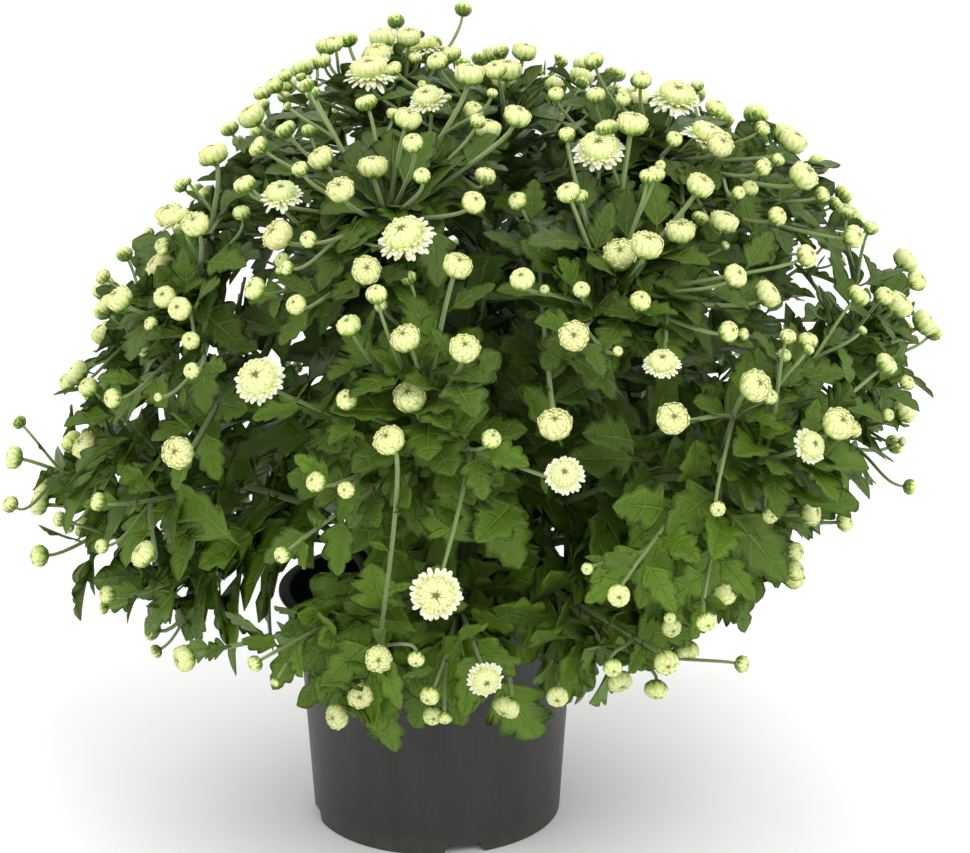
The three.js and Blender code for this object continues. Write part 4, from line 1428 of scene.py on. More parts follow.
@dataclass(frozen=True)
class Blade:
    """A leaf's shape as rings of six points: two edges, three points on top and one below.

    Each row gives a ring: how far along the leaf its edge points lie, the half-width there as a
    share of the leaf's width, and its phase, which is a whole number on each main vein. The lobes
    are deeper on some leaves than on others.
    """

    rows: tuple
    plainest: float = 0.45
    vein_sweep: float = 0.85
    thickness: float = 0.32
    stalk_half_width: float = 0.75
    across: tuple = (1.0, 0.5, 0.0, -0.5, -1.0, 0.0)
    top: tuple = (0.0, 0.75, 0.55, 0.75, 0.0, -1.0)
    under: tuple = (0.0, 0.0, 0.0, 0.0, 0.0, 1.0)

    def surface(self, leaves: Leaves, rng: Random) -> Surface:
        """The skins of all the leaves.

        A midrib point is the quadratic curve through seat, middle and tip. An edge point lies
        across from it by the half-width and ahead of it by the vein's sweep, lifted by the blade's
        fold and by a wave that grows towards the edge. On a plainer leaf the half-width is nearer
        to an egg.

        Args:
            leaves: n leaves.
            rng: for their folds and waves.

        Returns:
            The surface.
        """
        edge_run, share, phase = np.array(self.rows).T
        across, count = np.array(self.across), len(leaves.seat)
        middle_run = np.maximum.accumulate(edge_run - self.vein_sweep * share * 0.62)
        run = middle_run[:, None] + (edge_run - middle_run)[:, None] * np.abs(across)
        egg = 0.46 * np.sin(math.pi * np.clip((edge_run - 0.16) / 0.84, 0, 1) ** 0.75) ** 0.7
        plain = rng.uniform(0, self.plainest, (count, 1))
        share = share + plain * np.maximum(egg - share, 0)
        half = np.maximum(leaves.width[:, None] * share, self.stalk_half_width * (edge_run < 0.97))
        half = half[:, :, None]
        fold = rng.uniform(0.08, 0.52, (count, 1, 1))
        wave = rng.uniform(0.03, 0.20, (count, 1, 1))
        start = rng.uniform(0, 2 * math.pi, (count, 1, 1))
        swing = np.sin(start + 8.5 * run + 1.2 * np.sign(across)) * across**2
        blade = eased(0.15, 0.35, run)
        thick = self.thickness * between(1.9, 1.0, blade)
        lift = half * blade * (fold * np.abs(across) + wave * swing) + np.array(self.top) * thick
        side = leaves.side[:, None, None]
        face = unit(np.cross(leaves.tip - leaves.seat, leaves.side))[:, None, None]
        rings = self.midrib(leaves, run) + side * (half * across)[..., None]
        rings = rings + face * lift[..., None]
        uv = np.stack(np.broadcast_arrays(0.5 + 0.5 * across, phase[:, None] / 4), -1)
        return loft(rings, uv, tint=leaves.tint[:, None, None], age=leaves.age[:, None, None],
                    under=np.array(self.under))

    def midrib(self, leaves: Leaves, run: Array) -> Array:
        """Points of the quadratic curve through the seat (0), the middle and the tip (1).

        Args:
            leaves: n leaves.
            run: shares of the way, shape (k, c).

        Returns:
            Points, shape (n, k, c, 3).
        """
        at, rest = MIDDLE_RUN, 1 - MIDDLE_RUN
        bend = (leaves.middle - leaves.seat * rest**2 - leaves.tip * at**2) / (2 * at * rest)
        run = run[None, ..., None]
        first, second, third = (one[:, None, None] for one in (leaves.seat, bend, leaves.tip))
        return first * (1 - run) ** 2 + second * 2 * run * (1 - run) + third * run**2


LOBED_BLADE = Blade((
    (0.00, 0.020, 0.0), (0.17, 0.026, 0.3), (0.24, 0.090, 0.5), (0.33, 0.310, 0.7),
    (0.41, 0.440, 0.85), (0.46, 0.490, 0.95), (0.505, 0.495, 1.05), (0.54, 0.430, 1.25),
    (0.565, 0.300, 1.5), (0.63, 0.375, 1.75), (0.70, 0.430, 1.95), (0.75, 0.420, 2.1),
    (0.785, 0.340, 2.3), (0.805, 0.225, 2.5), (0.87, 0.260, 2.8), (0.93, 0.190, 3.2),
    (0.97, 0.095, 3.6), (1.00, 0.012, 4.0),
))
INNER_BLADE = Blade((
    (0.00, 0.026, 0.0), (0.20, 0.040, 0.4), (0.34, 0.330, 0.8), (0.50, 0.500, 1.0),
    (0.565, 0.290, 1.5), (0.73, 0.430, 2.0), (0.805, 0.225, 2.5), (0.90, 0.230, 3.0),
    (1.00, 0.012, 4.0),
))
SMALL_BLADE = Blade((
    (0.00, 0.050, 0.0), (0.20, 0.120, 0.5), (0.45, 0.400, 1.0), (0.68, 0.420, 2.0),
    (0.88, 0.210, 3.0), (1.00, 0.020, 4.0),
), plainest=0.3, thickness=0.25, stalk_half_width=0.35)


@dataclass(frozen=True)
class StemShape:
    """Round stems along their curves. Every second corner is a pale ridge, so corners is even."""

    corners: int
    levels: int
    start: float = 0.0

    def surface(self, limbs: list[Limb]) -> Surface:
        """Tubes of even rings along the curves, thinning from one radius to the other.

        The first side direction of each ring is the one before with its part along the curve taken
        out, so that the tubes don't twist. Main stems are woody near the soil.

        Args:
            limbs: n limbs.

        Returns:
            The surface.
        """
        share = np.linspace(self.start, 1, self.levels)
        curves, low, high, main = (np.array(one) for one in zip(*(
            (limb.curve, [limb.radius], [limb.end_radius], [limb.kind is LimbKind.MAIN])
            for limb in limbs)))
        points, along = bezier(curves, share), bezier_slope(curves, share)
        first = np.empty_like(points)
        first[:, 0] = sideways(along[:, 0])[0]
        for level in range(1, self.levels):
            first[:, level] = squared(first[:, level - 1], along[:, level])
        second = np.cross(along, first)
        radius = between(low, high, np.clip(share, 0, 1))[..., None, None]
        turn = angles(self.corners)[:, None]
        rings = points[:, :, None] + spoke(first[:, :, None], second[:, :, None], turn) * radius
        woody = (main * eased(0.6, 0.2, share) * eased(185, 128, points[..., 2]))[..., None]
        ridge = np.arange(self.corners) % 2
        return loft(rings, np.stack(np.broadcast_arrays(ridge, share[:, None]), -1), age=woody)


@dataclass(frozen=True)
class BallForm:
    """The rounded body of a head, in radii: its middle's height and its half-heights up and down.

    A power under 1 makes its upper half squarer, like a cup with a flat top.
    """

    middle: float
    up: float
    down: float
    power: float
    foot_power: float = 0.95

    def surface(self, radius: Array, polar: Array, swell: Array) -> tuple[Array, Array]:
        """Distance from the axis and height of a point of the body at a polar angle.

        Args:
            radius: the heads'.
            polar: angles from where a head faces.
            swell: the size as a share of the body.

        Returns:
            The distances and heights.
        """
        rise = np.cos(polar)
        half = np.where(rise > 0, self.up, self.down)
        power = np.where(rise > 0, self.power, self.foot_power)
        lift = np.sign(rise) * np.abs(rise) ** power
        out = radius * swell * np.sin(polar) ** power
        return out, radius * (self.middle + half * swell * lift)


@dataclass(frozen=True)
class Bunch:
    """The petals of a head: how many, how far out the first tips lie and how tips stand.

    The outermost ones are white at the tip when closed is 0 and lemon when it is 1.
    """

    count: int
    rim: float
    spreading: float
    tip_rise: float
    closed: float


BUD_PETALS = Bunch(13, 0.84, 0.0, 0.0, 0.5)
BALL_PETALS = Bunch(28, 0.93, 0.02, 0.0, 0.4)
POMPON_PETALS = Bunch(60, 0.99, 0.12, 0.05, 0.15)
HEART_PETALS = Bunch(130, 0.97, 0.02, 0.08, 0.5)
BUD_FORM = BallForm(0.85, 0.86, 0.85, 0.92)
OPEN_FORM = BallForm(0.74, 0.71, 0.72, 0.80)
CUSHION_FORM = BallForm(0.45, 0.47, 0.45, 0.70)


@dataclass
class HeadShape:
    """Petals, scales and core of heads of one form, set round each head's own axis."""

    heads: list[Head]
    form: BallForm
    rng: Random
    dimple: float = 0.13
    scale_foot: float = 168

    @property
    def radius(self) -> Array:
        """The heads' radii, shape (n, 1, 1)."""
        return np.array([head.radius for head in self.heads])[:, None, None]

    def frames(self) -> tuple[Array, ...]:
        """Base, facing and two side directions of each head, turned at random round its axis.

        Returns:
            Four arrays of shape (n, 1, 1, 3).
        """
        base = np.array([head.base for head in self.heads])
        facing = np.array([head.facing for head in self.heads])
        first, second = sideways(facing)
        turn = self.rng.uniform(0, 2 * math.pi, (len(self.heads), 1))
        sides = spoke(first, second, turn), second * np.cos(turn) - first * np.sin(turn)
        return tuple(one[:, None, None] for one in (base, facing, *sides))

    def strips(self, frames: tuple[Array, ...], azimuth: Array, out: Array,
               height: Array, half: Array, depth: Array, cup: float,
               **marks: Array) -> Surface:
        """Narrow petals or scales, each in a plane through its head's axis.

        A strip's middle line is given by its distance from the axis and its height. Its section is
        a flat diamond whose edges are raised towards the axis by the cup.

        Args:
            frames: n heads.
            azimuth: shape (n, p) for p strips a head.
            out, height: shape (n, p, k), k points along each strip.
            half: half-widths, broadcasts to (n, p, k).
            depth: half-thicknesses, broadcasts to (n, p, k).
            cup: share of the half-width by which the edges are raised.
            marks: each broadcasts to shape (n, p, 1, 1).

        Returns:
            The surface.
        """
        base, facing, first, second = frames
        turn = azimuth[..., None, None]
        radial = spoke(first, second, turn)
        side = first * np.sin(turn) - second * np.cos(turn)
        step_out, step_up = np.gradient(out, axis=2), np.gradient(height, axis=2)
        size = np.maximum(np.hypot(step_out, step_up), 1e-6)
        normal = radial * (step_up / size)[..., None] - facing * (step_out / size)[..., None]
        line = base + radial * out[..., None] + facing * height[..., None]
        across = np.array([1.0, 0.0, -1.0, 0.0])
        half, depth = (np.broadcast_to(one, out.shape)[..., None] for one in (half, depth))
        lift = half * (-np.abs(across) * cup) + depth * np.array([0.0, 1.0, 0.0, -1.0])
        rings = line[..., None, :] + side[..., None, :] * (half * across)[..., None]
        rings = rings + normal[..., None, :] * lift[..., None]
        count, strips, levels = out.shape
        along = np.linspace(0, 1, levels)[:, None]
        flat = {name: np.broadcast_to(value, (count, strips, 1, 1)).reshape(-1, 1, 1)
                for name, value in marks.items()}
        uv = np.stack(np.broadcast_arrays(0.5 + 0.5 * across, along), -1)
        return loft(rings.reshape(count * strips, levels, 4, 3), uv, **flat)

    def scales(self, count: int = 11) -> Surface:
        """The calyx: scales up the lower half of the body, every second one a little shorter.

        On the smallest heads they still close over most of the body.

        Args:
            count: how many on each head.

        Returns:
            The surface.
        """
        frames, radius, number = self.frames(), self.radius, len(self.heads)
        azimuth = np.broadcast_to(np.arange(count) * 2 * math.pi / count, (number, count))
        second = (np.arange(count) % 2)[None, :, None]
        last = np.radians(between(54, 98, eased(3.0, 8.0, radius)))
        end = last + 0.2 * second + self.rng.normal(0, 0.06, (number, count, 1))
        share = np.array([0.0, 0.35, 0.7, 1.0])
        polar = between(math.radians(self.scale_foot), end, share)
        swell = 1.03 + 0.03 * second + 0.03 * share**2
        out, height = self.form.surface(radius, polar, swell)
        half = radius * (np.array([0.14, 0.37, 0.35, 0.09]) * 9 / count)
        tint = self.rng.uniform(0, 1, (number, 1, 1, 1))
        return self.strips(frames, azimuth, out, height, half, 0.045 * radius, 0.05, tint=tint)

    def core(self, top: float, shrink: float) -> Surface:
        """The closed body under the petals, dark where it shows in the dimple at the top.

        Args:
            top: the polar angle at which it ends, in degrees.
            shrink: its size as a share of the body.

        Returns:
            The surface.
        """
        base, facing, first, second = self.frames()
        polar = np.radians([172, 140, 105, 70, 35, 14, top])[None, :, None]
        out, height = self.form.surface(self.radius, polar, shrink)
        side = spoke(first, second, angles(8)[:, None])
        rings = base + side * out[..., None] + facing * height[..., None]
        heart = eased(math.radians(19), math.radians(6), polar)
        return loft(rings, np.array([0.5, 0.6]), under=heart, age=1.0)

    def folded(self, bunch: Bunch) -> Surface:
        """Incurved petals in golden-angle order, from the outermost to those at the dimple.

        The tips share the top's area evenly from the rim to the dimple: a tip's distance from the
        axis is the root of an even share between the squares of both. Each petal starts about 66
        degrees lower. The outer ones stand a little off the body and spread at their tips, and all
        tips rise off the petals under them. Half-widths are shares of the distance from the axis,
        so petals narrow to the top.

        Args:
            bunch: which petals.

        Returns:
            The surface.
        """
        frames, radius, rng = self.frames(), self.radius, self.rng
        number, count = len(self.heads), bunch.count
        inner = (np.arange(count) / max(1, count - 1))[None, :, None]
        azimuth = np.arange(count) * GOLDEN_ANGLE + rng.normal(0, 0.08, (number, count))
        reach = np.sqrt(between(bunch.rim**2, self.dimple**2, inner))
        end = np.arcsin(reach ** (1 / self.form.power))
        end = end * rng.uniform(0.95, 1.03, (number, count, 1))
        begin = np.minimum(math.radians(118), end + math.radians(66))
        share = np.array([0.0, 0.4, 0.72, 0.92, 1.0])
        polar = between(begin, end, share)
        swell = 1.03 - 0.06 * inner + (1 - inner) * bunch.spreading * share**3 + 0.02 * share
        swell = swell * rng.uniform(0.99, 1.015, (number, count, 1))
        out, height = self.form.surface(radius, polar, swell)
        height = height + radius * share**5 * (bunch.tip_rise - 0.06 * inner)
        wide = np.array([0.42, 0.58, 0.62, 0.54, 0.26]) * math.sqrt(11 / (count + 2))
        tint = rng.uniform(0, 1, (number, 1, 1, 1))
        return self.strips(frames, azimuth, out, height, wide * out + 0.025 * radius,
                           0.035 * radius, 0.13, tint=tint,
                           age=between(bunch.closed, 1.0, inner)[..., None])


@dataclass(frozen=True)
class RayLayer:
    """One layer of an open bloom's ray petals, in radii of the bloom."""

    count: int
    length: float
    foot: float
    rise: float
    curl: float
    half_width: float
    inner: float


@dataclass(frozen=True)
class BloomShape:
    """An open bloom: layers of rays, flatter outside and steeper inside, and a heart."""

    seat: float = 5.3
    heart_share: float = 0.62
    thickness: float = 0.24
    cup: float = 0.28
    layers: tuple[RayLayer, ...] = (
        RayLayer(23, 1.00, 0.10, 0.17, 0.14, 0.108, 0.0),
        RayLayer(24, 0.92, 0.13, 0.27, 0.10, 0.102, 0.05),
        RayLayer(23, 0.83, 0.16, 0.40, 0.07, 0.096, 0.2),
        RayLayer(20, 0.74, 0.20, 0.54, 0.02, 0.090, 0.5),
    )

    def surface(self, bloom: Head, rng: Random) -> Surface:
        """All layers of one bloom.

        A ray leaves the axis at its foot's height, rises by a share of its run and curls down or
        in with the square of it, the outer ones more on one side of the bloom, where they sag. Its
        half-width swells to four fifths of its length and rounds off.

        Args:
            bloom: its head.
            rng: for its scatter.

        Returns:
            The surface.
        """
        rays = HeadShape([bloom], CUSHION_FORM, rng)
        frames, size = rays.frames(), bloom.radius
        share = np.array([0.0, 0.2, 0.48, 0.74, 0.92, 1.0])
        slack = rng.uniform(0, 2 * math.pi)
        parts = []
        for number, layer in enumerate(self.layers):
            each = (1, layer.count, 1)
            azimuth = (angles(layer.count) + number * 0.7 + rng.normal(0, 0.05, layer.count))[None]
            length = layer.length * size * rng.uniform(0.88, 1.0, each)
            rise = layer.rise + rng.normal(0, 0.05, each)
            sagging = np.clip(np.cos(azimuth[..., None] - slack), 0, 1) * (1 - layer.inner) * 0.22
            curl = layer.curl + rng.normal(0, 0.05, each) + sagging
            out = 0.06 * size + length * (share - 0.16 * layer.inner * share**2) * 0.95
            start = self.seat + layer.foot * size * 0.6
            height = start + length * (rise * share - curl * share**2)
            wide = np.array([0.4, 0.62, 0.88, 1.0, 0.82, 0.34]) * layer.half_width * size
            half = wide * rng.uniform(0.9, 1.1, each)
            parts.append(rays.strips(frames, azimuth, out, height, half, self.thickness, self.cup,
                                     tint=rng.uniform(0, 1, each + (1,)), age=layer.inner))
        foot = bloom.base + bloom.facing * (self.seat + 0.06 * size)
        heart = Head(bloom.stem, foot, bloom.facing, self.heart_share * size, HeadKind.BALL)
        middle = HeadShape([heart], CUSHION_FORM, rng)
        return Surface.joined([*parts, middle.core(4, 0.925), middle.folded(HEART_PETALS)])


# Pot and soil


def turned(profile: Array, segments: int) -> Surface:
    """A closed profile of (radius, height) pairs turned round the axis.

    Its first and last points lie on the axis, where a small ring closes the skin.

    Args:
        profile: shape (n, 2).
        segments: corners of each ring.

    Returns:
        The surface.
    """
    radius = np.maximum(profile[:, :1], 0.05)
    return loft(round_axis(radius, angles(segments), profile[:, 1:])[None], np.zeros(2))


def rounded(points: list[tuple[float, float, float]], steps: int = 4) -> Array:
    """An outline whose corners are rounded.

    Args:
        points: radius, height and how far from each corner its rounding starts.
        steps: pieces of each rounding, a quadratic curve with the corner as its control point.

    Returns:
        The outline, shape (n, 2).
    """
    corners = np.array([point[:2] for point in points], float)
    outline = [corners[0]]
    share = np.linspace(0, 1, steps + 1)[:, None]
    for before, corner, after, (_, _, cut) in zip(corners, corners[1:], corners[2:], points[1:]):
        start, end = corner + unit(before - corner) * cut, corner + unit(after - corner) * cut
        curve = start * (1 - share) ** 2 + corner * 2 * share * (1 - share) + end * share**2
        outline += list(curve)
    outline.append(corners[-1])
    return np.array(outline)


@dataclass
class Pot:
    """The nursery pot: a tapered wall, a collar with a lip, a notched foot and drain holes."""

    foot_radius: float = 75.5
    wall_top_radius: float = 82.8
    wall_top: float = 116
    collar_radius: float = 89.5
    collar_bottom: float = 123.5
    collar_flare: float = 1
    lip_radius: float = 95
    lip_thickness: float = 3
    wall: float = 2.2
    floor: float = 8
    floor_thickness: float = 2.5
    foot_bevel: float = 1.5
    boss_radius: float = 12
    notches: int = 4
    notch_azimuth: float = 12
    notch_width: float = 24
    notch_height: float = 6.5
    notch_slope: float = 2
    notch_depth: float = 12
    drain_radius: float = 5
    drain_circle: float = 52
    drain_sides: int = 24
    segments: int = 144

    def build(self, finishes: Finishes) -> Thing:
        """The pot as one piece that replaces its node.

        Args:
            finishes: the materials.

        Returns:
            The pot.
        """
        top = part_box("pot")[1].z / MM
        pot = put_piece("nursery_pot", [(turned(self.profile(top), self.segments), finishes.pot)])
        self.cut(pot, self.cutters())
        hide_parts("pot")
        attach(pot, "root")
        return pot

    def profile(self, top: float) -> Array:
        """The outline from the foot's middle, round the lip and back to the floor's middle.

        Args:
            top: the lip's height.

        Returns:
            The outline, shape (n, 2).
        """
        under = self.floor - self.floor_thickness
        inside_foot = self.foot_radius - self.wall
        lip_under = top - self.lip_thickness
        inside_collar = self.collar_radius - self.wall
        taper = (self.wall_top_radius - self.foot_radius) * (1 - self.floor / self.wall_top)
        return rounded([
            (0, 0, 0),
            (self.boss_radius, 0, 0.8),
            (self.boss_radius, under, 0.8),
            (inside_foot - self.foot_bevel, under, 0.8),
            (inside_foot, 0, 0.5),
            (self.foot_radius, 0, 1.2),
            (self.wall_top_radius, self.wall_top, 3.5),
            (self.collar_radius, self.collar_bottom, 2.5),
            (self.collar_radius + self.collar_flare, lip_under, 1.0),
            (self.lip_radius, lip_under, 1.2),
            (self.lip_radius, top, 1.3),
            (inside_collar + self.collar_flare, top, 1.2),
            (inside_collar, self.collar_bottom + self.collar_flare, 2.5),
            (self.wall_top_radius - self.wall, self.wall_top, 3.5),
            (self.wall_top_radius - self.wall - taper, self.floor, 2.5),
            (0, self.floor, 0),
        ])

    def cutters(self) -> Surface:
        """Wedges for the notches in the foot ring and pins for the drain holes.

        Returns:
            The surface.
        """
        half, slope, rise = self.notch_width / 2, self.notch_slope, self.notch_height
        outline = ((-half - 1, -1), (half + 1, -1), (half - slope, rise), (-half + slope, rise))
        depths = (self.notch_depth - self.foot_radius, -self.foot_radius - 4)
        wedge = np.array([[[x, y, z] for x, z in outline] for y in depths])
        levels = np.array([[-1.0], [self.floor + 4]])
        pin = round_axis(self.drain_radius, angles(self.drain_sides), levels)
        pin[..., 1] -= self.drain_circle
        parts = []
        for notch in range(self.notches):
            angle = math.radians(self.notch_azimuth) + notch * 2 * math.pi / self.notches
            for points, turn in ((wedge, angle), (pin, angle + math.pi / self.notches)):
                x, y = points[..., 0], points[..., 1]
                spun = np.stack([x * math.cos(turn) - y * math.sin(turn),
                                 x * math.sin(turn) + y * math.cos(turn), points[..., 2]], -1)
                parts.append(loft(spun[None], np.zeros(2)))
        return Surface.joined(parts)

    def cut(self, pot: Thing, cutters: Surface) -> None:
        """Takes the cutters out of the pot and keeps the result as its mesh.

        Args:
            pot: its object.
            cutters: closed skins.
        """
        tool = put_piece("cutters", [(cutters, pot.data.materials[0])])
        modifier = pot.modifiers.new("openings", "BOOLEAN")
        modifier.operation = "DIFFERENCE"
        modifier.solver = "EXACT"
        modifier.object = tool
        bpy.context.view_layer.update()
        shown = pot.evaluated_get(bpy.context.evaluated_depsgraph_get())
        result = bpy.data.meshes.new_from_object(shown)
        pot.modifiers.clear()
        plain, pot.data = pot.data, result
        pot.data.name = pot.name
        bpy.data.meshes.remove(plain)
        bpy.data.objects.remove(tool)
        result.shade_smooth()
        result.set_sharp_from_angle(angle=math.radians(POT_EDGE))


@dataclass
class Soil:
    """Potting mix: a lumpy top with loose crumbs and a few pale grains.

    Its radius and heights are its node's. A lump is a place, a width and a height.
    """

    rings: int = 60
    segments: int = 150
    lump_count: int = 420
    lump_limits: tuple = (-1.5, 1.6)
    edge_fall: float = 3.2
    wall_gap: float = 5
    crumbs: int = 260
    pale_share: float = 0.07
    taper: float = 8.5
    shoulder: tuple = (1.6, 114.0)
    rng: Random = field(default_factory=lambda: np.random.default_rng(SEED + 2))

    def __post_init__(self) -> None:
        """Reads the node's sizes and scatters the lumps, shape (n, 4)."""
        low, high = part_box("soil")
        self.edge, self.bottom, self.top = high.x / MM, low.z / MM, high.z / MM
        count, rng = self.lump_count, self.rng
        out = self.edge * np.sqrt(rng.uniform(0, 1, count))
        angle, width = rng.uniform(0, 2 * math.pi, count), rng.uniform(1.5, 5, count)
        lumps = round_axis(out, angle, width)
        self.lumps = np.column_stack([lumps, rng.uniform(-0.9, 1.3, count)])

    def build(self, finishes: Finishes) -> list[Thing]:
        """The soil, which replaces its node, and the crumbs on it.

        Args:
            finishes: the materials.

        Returns:
            Both pieces.
        """
        soil = put_piece("soil_body", [(self.body(), finishes.soil)])
        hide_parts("soil")
        crumbs = put_piece("soil_crumbs", [(self.loose(), finishes.soil)])
        for piece in (soil, crumbs):
            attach(piece, "root")
        return [soil, crumbs]

    def height(self, x: Array, y: Array) -> Array:
        """The top's height: a low crown, less near the wall, plus bell-shaped lumps.

        Args:
            x, y: places, of the same shape.

        Returns:
            The heights.
        """
        across, along, width, rise = self.lumps.T
        away = (x[..., None] - across) ** 2 + (y[..., None] - along) ** 2
        bells = rise * np.exp(-away / (2 * width**2))
        fall = self.edge_fall * eased(0.72, 1.0, np.hypot(x, y) / self.edge)
        return self.top - self.lump_limits[1] - fall + np.clip(bells.sum(-1), *self.lump_limits)

    def body(self) -> Surface:
        """One skin: the lumpy top from the middle to the edge, the side, and the flat underside.

        The side follows the pot's taper, so it narrows towards the bottom.

        Returns:
            The surface.
        """
        angle = angles(self.segments)
        surface = round_axis(np.linspace(self.edge, 0.2, self.rings)[:, None], angle, 0.0)
        surface[..., 2] = self.height(surface[..., 0], surface[..., 1])
        inset, height = self.shoulder
        walls = np.array([(0.2, self.bottom), (self.edge - self.taper, self.bottom),
                          (self.edge - inset, height)])
        lower = round_axis(walls[:, :1], angle, walls[:, 1:])
        return loft(np.concatenate([lower, surface])[None], np.zeros(2))

    def loose(self) -> Surface:
        """Crumbs: small closed lumps of three rings, half sunk in the top.

        Returns:
            The surface.
        """
        count, rng = self.crumbs, self.rng
        out = (self.edge - self.wall_gap) * np.sqrt(rng.uniform(0, 1, count))
        middle = round_axis(out, rng.uniform(0, 2 * math.pi, count), 0.0)
        size = rng.uniform(0.8, 2.2, count)[:, None, None]
        z = self.height(middle[:, 0], middle[:, 1])
        middle[:, 2] = np.minimum(z, self.top - 1.0)
        wide = np.array([0.45, 1.0, 0.5])[:, None] * rng.uniform(0.75, 1.25, (count, 3, 6))
        rings = round_axis(wide, angles(6), np.array([-0.7, 0.0, 0.6])[:, None]) * size[..., None]
        pale = (rng.uniform(0, 1, count) < self.pale_share).astype(float)[:, None, None]
        return loft(rings + middle[:, None, None], np.zeros(2), tint=pale)


# The whole plant


@dataclass
class Plant:
    """Turns the growth into pieces: for each stem a spray and its closed heads, and the blooms."""

    growth: Growth
    finishes: Finishes
    small_leaf: float = 20
    deep: float = 60
    pompon_radius: float = 6.8
    rng: Random = field(default_factory=lambda: np.random.default_rng(SEED + 1))

    def build(self) -> list[Thing]:
        """Builds every piece in order.

        Returns:
            The pieces.
        """
        pieces = []
        for stem in range(self.growth.rule.stems):
            pieces.append(self.spray(stem))
            pieces.append(self.closed_heads(stem))
        for number, bloom in enumerate(self.growth.blooms):
            layers = [(BloomShape().surface(bloom, self.rng), self.finishes.petal)]
            piece = put_piece(f"open_bloom_{number + 1:02d}", layers, crisp=True)
            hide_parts(f"bloom_{number + 1:02d}")
            pieces.append(piece)
        for piece in pieces:
            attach(piece, "root")
        return pieces

    def heads_of(self, stem: int, kind: HeadKind) -> list[Head]:
        """The heads of one kind on one stem."""
        return [head for head in self.growth.heads if head.stem == stem and head.kind is kind]

    def sized(self, heads: list[Head]) -> list[Head]:
        """Heads at the photograph's sizes: half-open ones are smaller at the top and low down.

        Args:
            heads: some heads.

        Returns:
            The same heads, fitted.
        """
        dome = self.growth.rule.dome
        fitted = []
        for head in heads:
            _, polar = dome.place(head.centre)
            share = 0.97 - 0.07 * eased(1.1, 0.6, polar) - 0.11 * eased(1.4, 1.8, polar)
            half_open = head.kind is HeadKind.BALL
            fitted.append(replace(head, radius=head.radius * float(share if half_open else 1)))
        return fitted

    def spray(self, stem: int) -> Thing:
        """One leafy stem with its shoots, stalks, leaves and calyces, which replaces its node.

        Args:
            stem: its number.

        Returns:
            The piece.
        """
        limbs = [limb for limb in self.growth.limbs if limb.stem == stem]
        mains = [limb for limb in limbs if limb.kind is LimbKind.MAIN]
        others = [limb for limb in limbs if limb.kind is not LimbKind.MAIN]
        stems = [StemShape(8, 22, -0.05).surface(mains), StemShape(6, 12).surface(others)]
        leaves = self.growth.leaves.chosen(self.growth.leaves.stem == stem)
        grown = leaves.length > self.small_leaf
        deep = self.growth.rule.dome.depth(leaves.middle) > self.deep
        kinds = ((LOBED_BLADE, grown & ~deep), (INNER_BLADE, grown & deep), (SMALL_BLADE, ~grown))
        blades = [blade.surface(leaves.chosen(chosen), self.rng)
                  for blade, chosen in kinds if chosen.any()]
        forms = ((kind, BUD_FORM if kind is HeadKind.BUD else OPEN_FORM) for kind in HeadKind)
        heads = [(self.sized(self.heads_of(stem, kind)), form) for kind, form in forms]
        calyces = [HeadShape(some, form, self.rng).scales() for some, form in heads if some]
        piece = put_piece(f"leafy_stem_{stem + 1:02d}", [
            (Surface.joined(stems), self.finishes.stem),
            (Surface.joined(blades), self.finishes.leaf),
            (Surface.joined(calyces), self.finishes.calyx),
        ])
        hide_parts(f"spray_{stem + 1:02d}")
        return piece

    def closed_heads(self, stem: int) -> Thing:
        """The petals and cores of one stem's closed and half-open heads.

        Args:
            stem: its number.

        Returns:
            The piece.
        """
        buds, balls, cups = (self.heads_of(stem, kind) for kind in HeadKind)
        closed = [head for head in balls if head.radius < self.pompon_radius]
        opening = [head for head in balls if head.radius >= self.pompon_radius]
        parts = []
        for heads, form, bunch, top, shrink in (
            (buds, BUD_FORM, BUD_PETALS, 5, 0.93),
            (cups, OPEN_FORM, None, 20, 0.93),
            (closed, OPEN_FORM, BALL_PETALS, 4, 0.925),
            (opening, OPEN_FORM, POMPON_PETALS, 4, 0.925),
        ):
            if heads:
                shape = HeadShape(self.sized(heads), form, self.rng)
                parts.append(shape.core(top, shrink))
                if bunch:
                    parts.append(shape.folded(bunch))
        layers = [(Surface.joined(parts), self.finishes.petal)]
        piece = put_piece(f"heads_{stem + 1:02d}", layers, crisp=True)
        return piece


# Studio


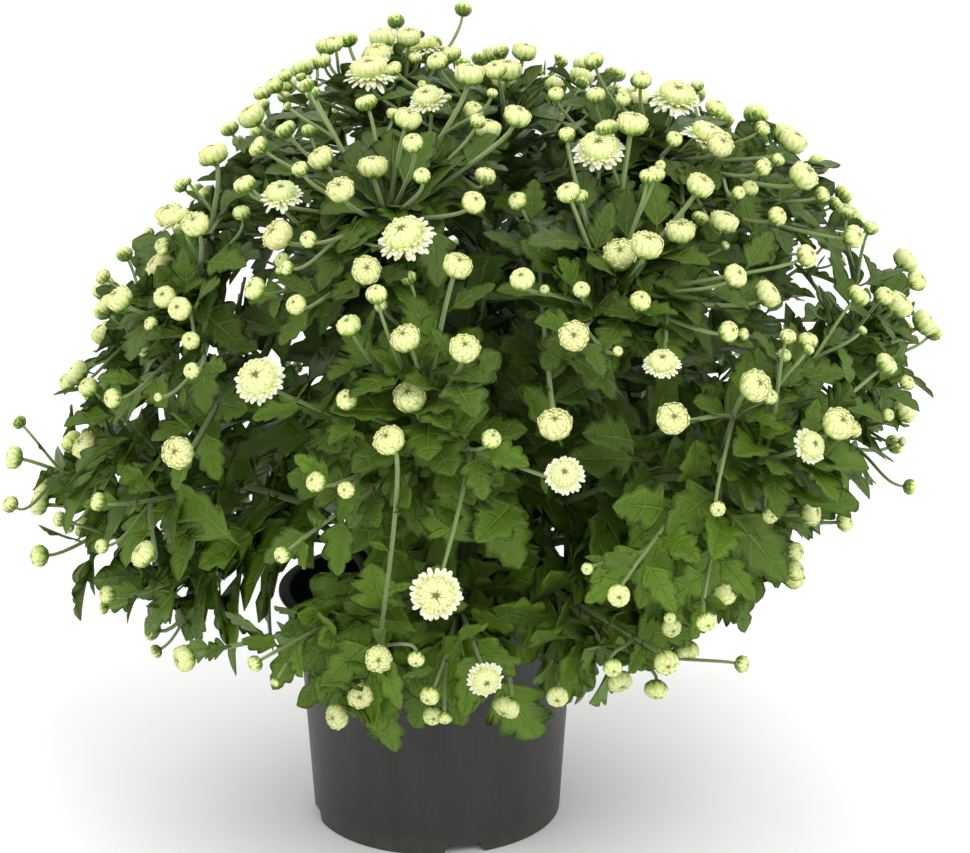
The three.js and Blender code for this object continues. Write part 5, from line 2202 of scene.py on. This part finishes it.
@dataclass(frozen=True)
class Studio:
    """The photograph's view, a pale floor and soft light."""

    image_width: int = 970
    focal_pixels: float = 2267
    sensor_width: float = 36
    camera_place: tuple = (0.0, -1.300, 0.587)
    pitch: float = 14.9
    yaw: float = 1.3
    floor_half: float = 12
    floor_colour: tuple = (0.96, 0.96, 0.96, 1)
    sky_strength: float = 1.04
    middle: tuple = (0.03, 0, 0.25)
    light_size: float = 1.6
    lights: tuple = (
        ("key", (0.9, -1.9, 2.3), 34),
        ("fill", (-1.9, -1.2, 1.3), 8),
        ("back", (0.3, 2.0, 2.2), 12),
    )

    def build(self) -> None:
        """Sets the camera, the floor and the lights."""
        self.camera()
        self.floor()
        self.world()
        for name, place, power in self.lights:
            self.light(name, place, power)

    def placed(self, name: str, data: bpy.types.ID) -> Thing:
        """An object with its data, linked to the scene.

        Args:
            name, data: for the object.

        Returns:
            The object.
        """
        thing = bpy.data.objects.new(name, data)
        bpy.context.scene.collection.objects.link(thing)
        return thing

    def camera(self) -> None:
        """A camera at the photograph's place and angle."""
        data = bpy.data.cameras.new("photo_view")
        data.sensor_fit = "HORIZONTAL"
        data.sensor_width = self.sensor_width
        data.lens = self.focal_pixels / self.image_width * self.sensor_width
        data.clip_start = 0.05
        data.clip_end = 60
        camera = self.placed("photo_view", data)
        camera.location = self.camera_place
        camera.rotation_euler = (math.radians(90 - self.pitch), 0, math.radians(-self.yaw))
        bpy.context.scene.camera = camera

    def floor(self) -> None:
        """A wide plain floor under the pot."""
        material = bpy.data.materials.new("pale_floor")
        material.use_nodes = True
        shader = material.node_tree.nodes["Principled BSDF"]
        shader.inputs["Base Color"].default_value = self.floor_colour
        shader.inputs["Roughness"].default_value = 0.8
        half = self.floor_half
        mesh = bpy.data.meshes.new("floor")
        corners = [(-half, -half, 0), (half, -half, 0), (half, half, 0), (-half, half, 0)]
        mesh.from_pydata(corners, [], [(0, 1, 2, 3)])
        mesh.materials.append(material)
        floor = self.placed("floor", mesh)

    def world(self) -> None:
        """Even light from all round."""
        world = bpy.data.worlds.new("studio")
        world.use_nodes = True
        background = world.node_tree.nodes["Background"]
        background.inputs["Color"].default_value = (1, 1, 1, 1)
        background.inputs["Strength"].default_value = self.sky_strength
        bpy.context.scene.world = world
        bpy.context.scene.view_settings.view_transform = "Standard"

    def light(self, name: str, place: tuple, power: float) -> None:
        """A soft square light that looks at the middle of the plant.

        Args:
            name: the lamp's.
            place: where it stands, in metres.
            power: in watts.
        """
        data = bpy.data.lights.new(name, "AREA")
        data.size = self.light_size
        data.energy = power
        lamp = self.placed(name, data)
        lamp.location = place
        away = np.array(self.middle) - np.array(place)
        level = math.hypot(away[0], away[1])
        lamp.rotation_euler = (math.atan2(level, -away[2]), 0, math.atan2(-away[0], away[1]))


def note_sizes() -> None:
    """Updates the view layer.
    """
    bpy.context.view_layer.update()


def main() -> None:
    """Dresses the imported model: pot, soil, plant and studio."""
    logging.basicConfig(level=logging.INFO, format="%(name)s: %(message)s")
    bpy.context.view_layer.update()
    finishes = Finishes()
    pieces = [Pot().build(finishes)]
    pieces += Soil().build(finishes)
    growth = Growth()
    growth.grow()
    LOG.info("limbs %d, heads %d, blooms %d, leaves %d", len(growth.limbs), len(growth.heads),
             len(growth.blooms), len(growth.leaves.seat))
    pieces += Plant(growth, finishes).build()
    Studio().build()
    total = 0
    for piece in pieces:
        piece.data.calc_loop_triangles()
        count = len(piece.data.loop_triangles)
        total += count
        LOG.info("%s: %d triangles", piece.name, count)
    LOG.info("all pieces: %d triangles", total)
    note_sizes()


if __name__ == "__main__":
    main()
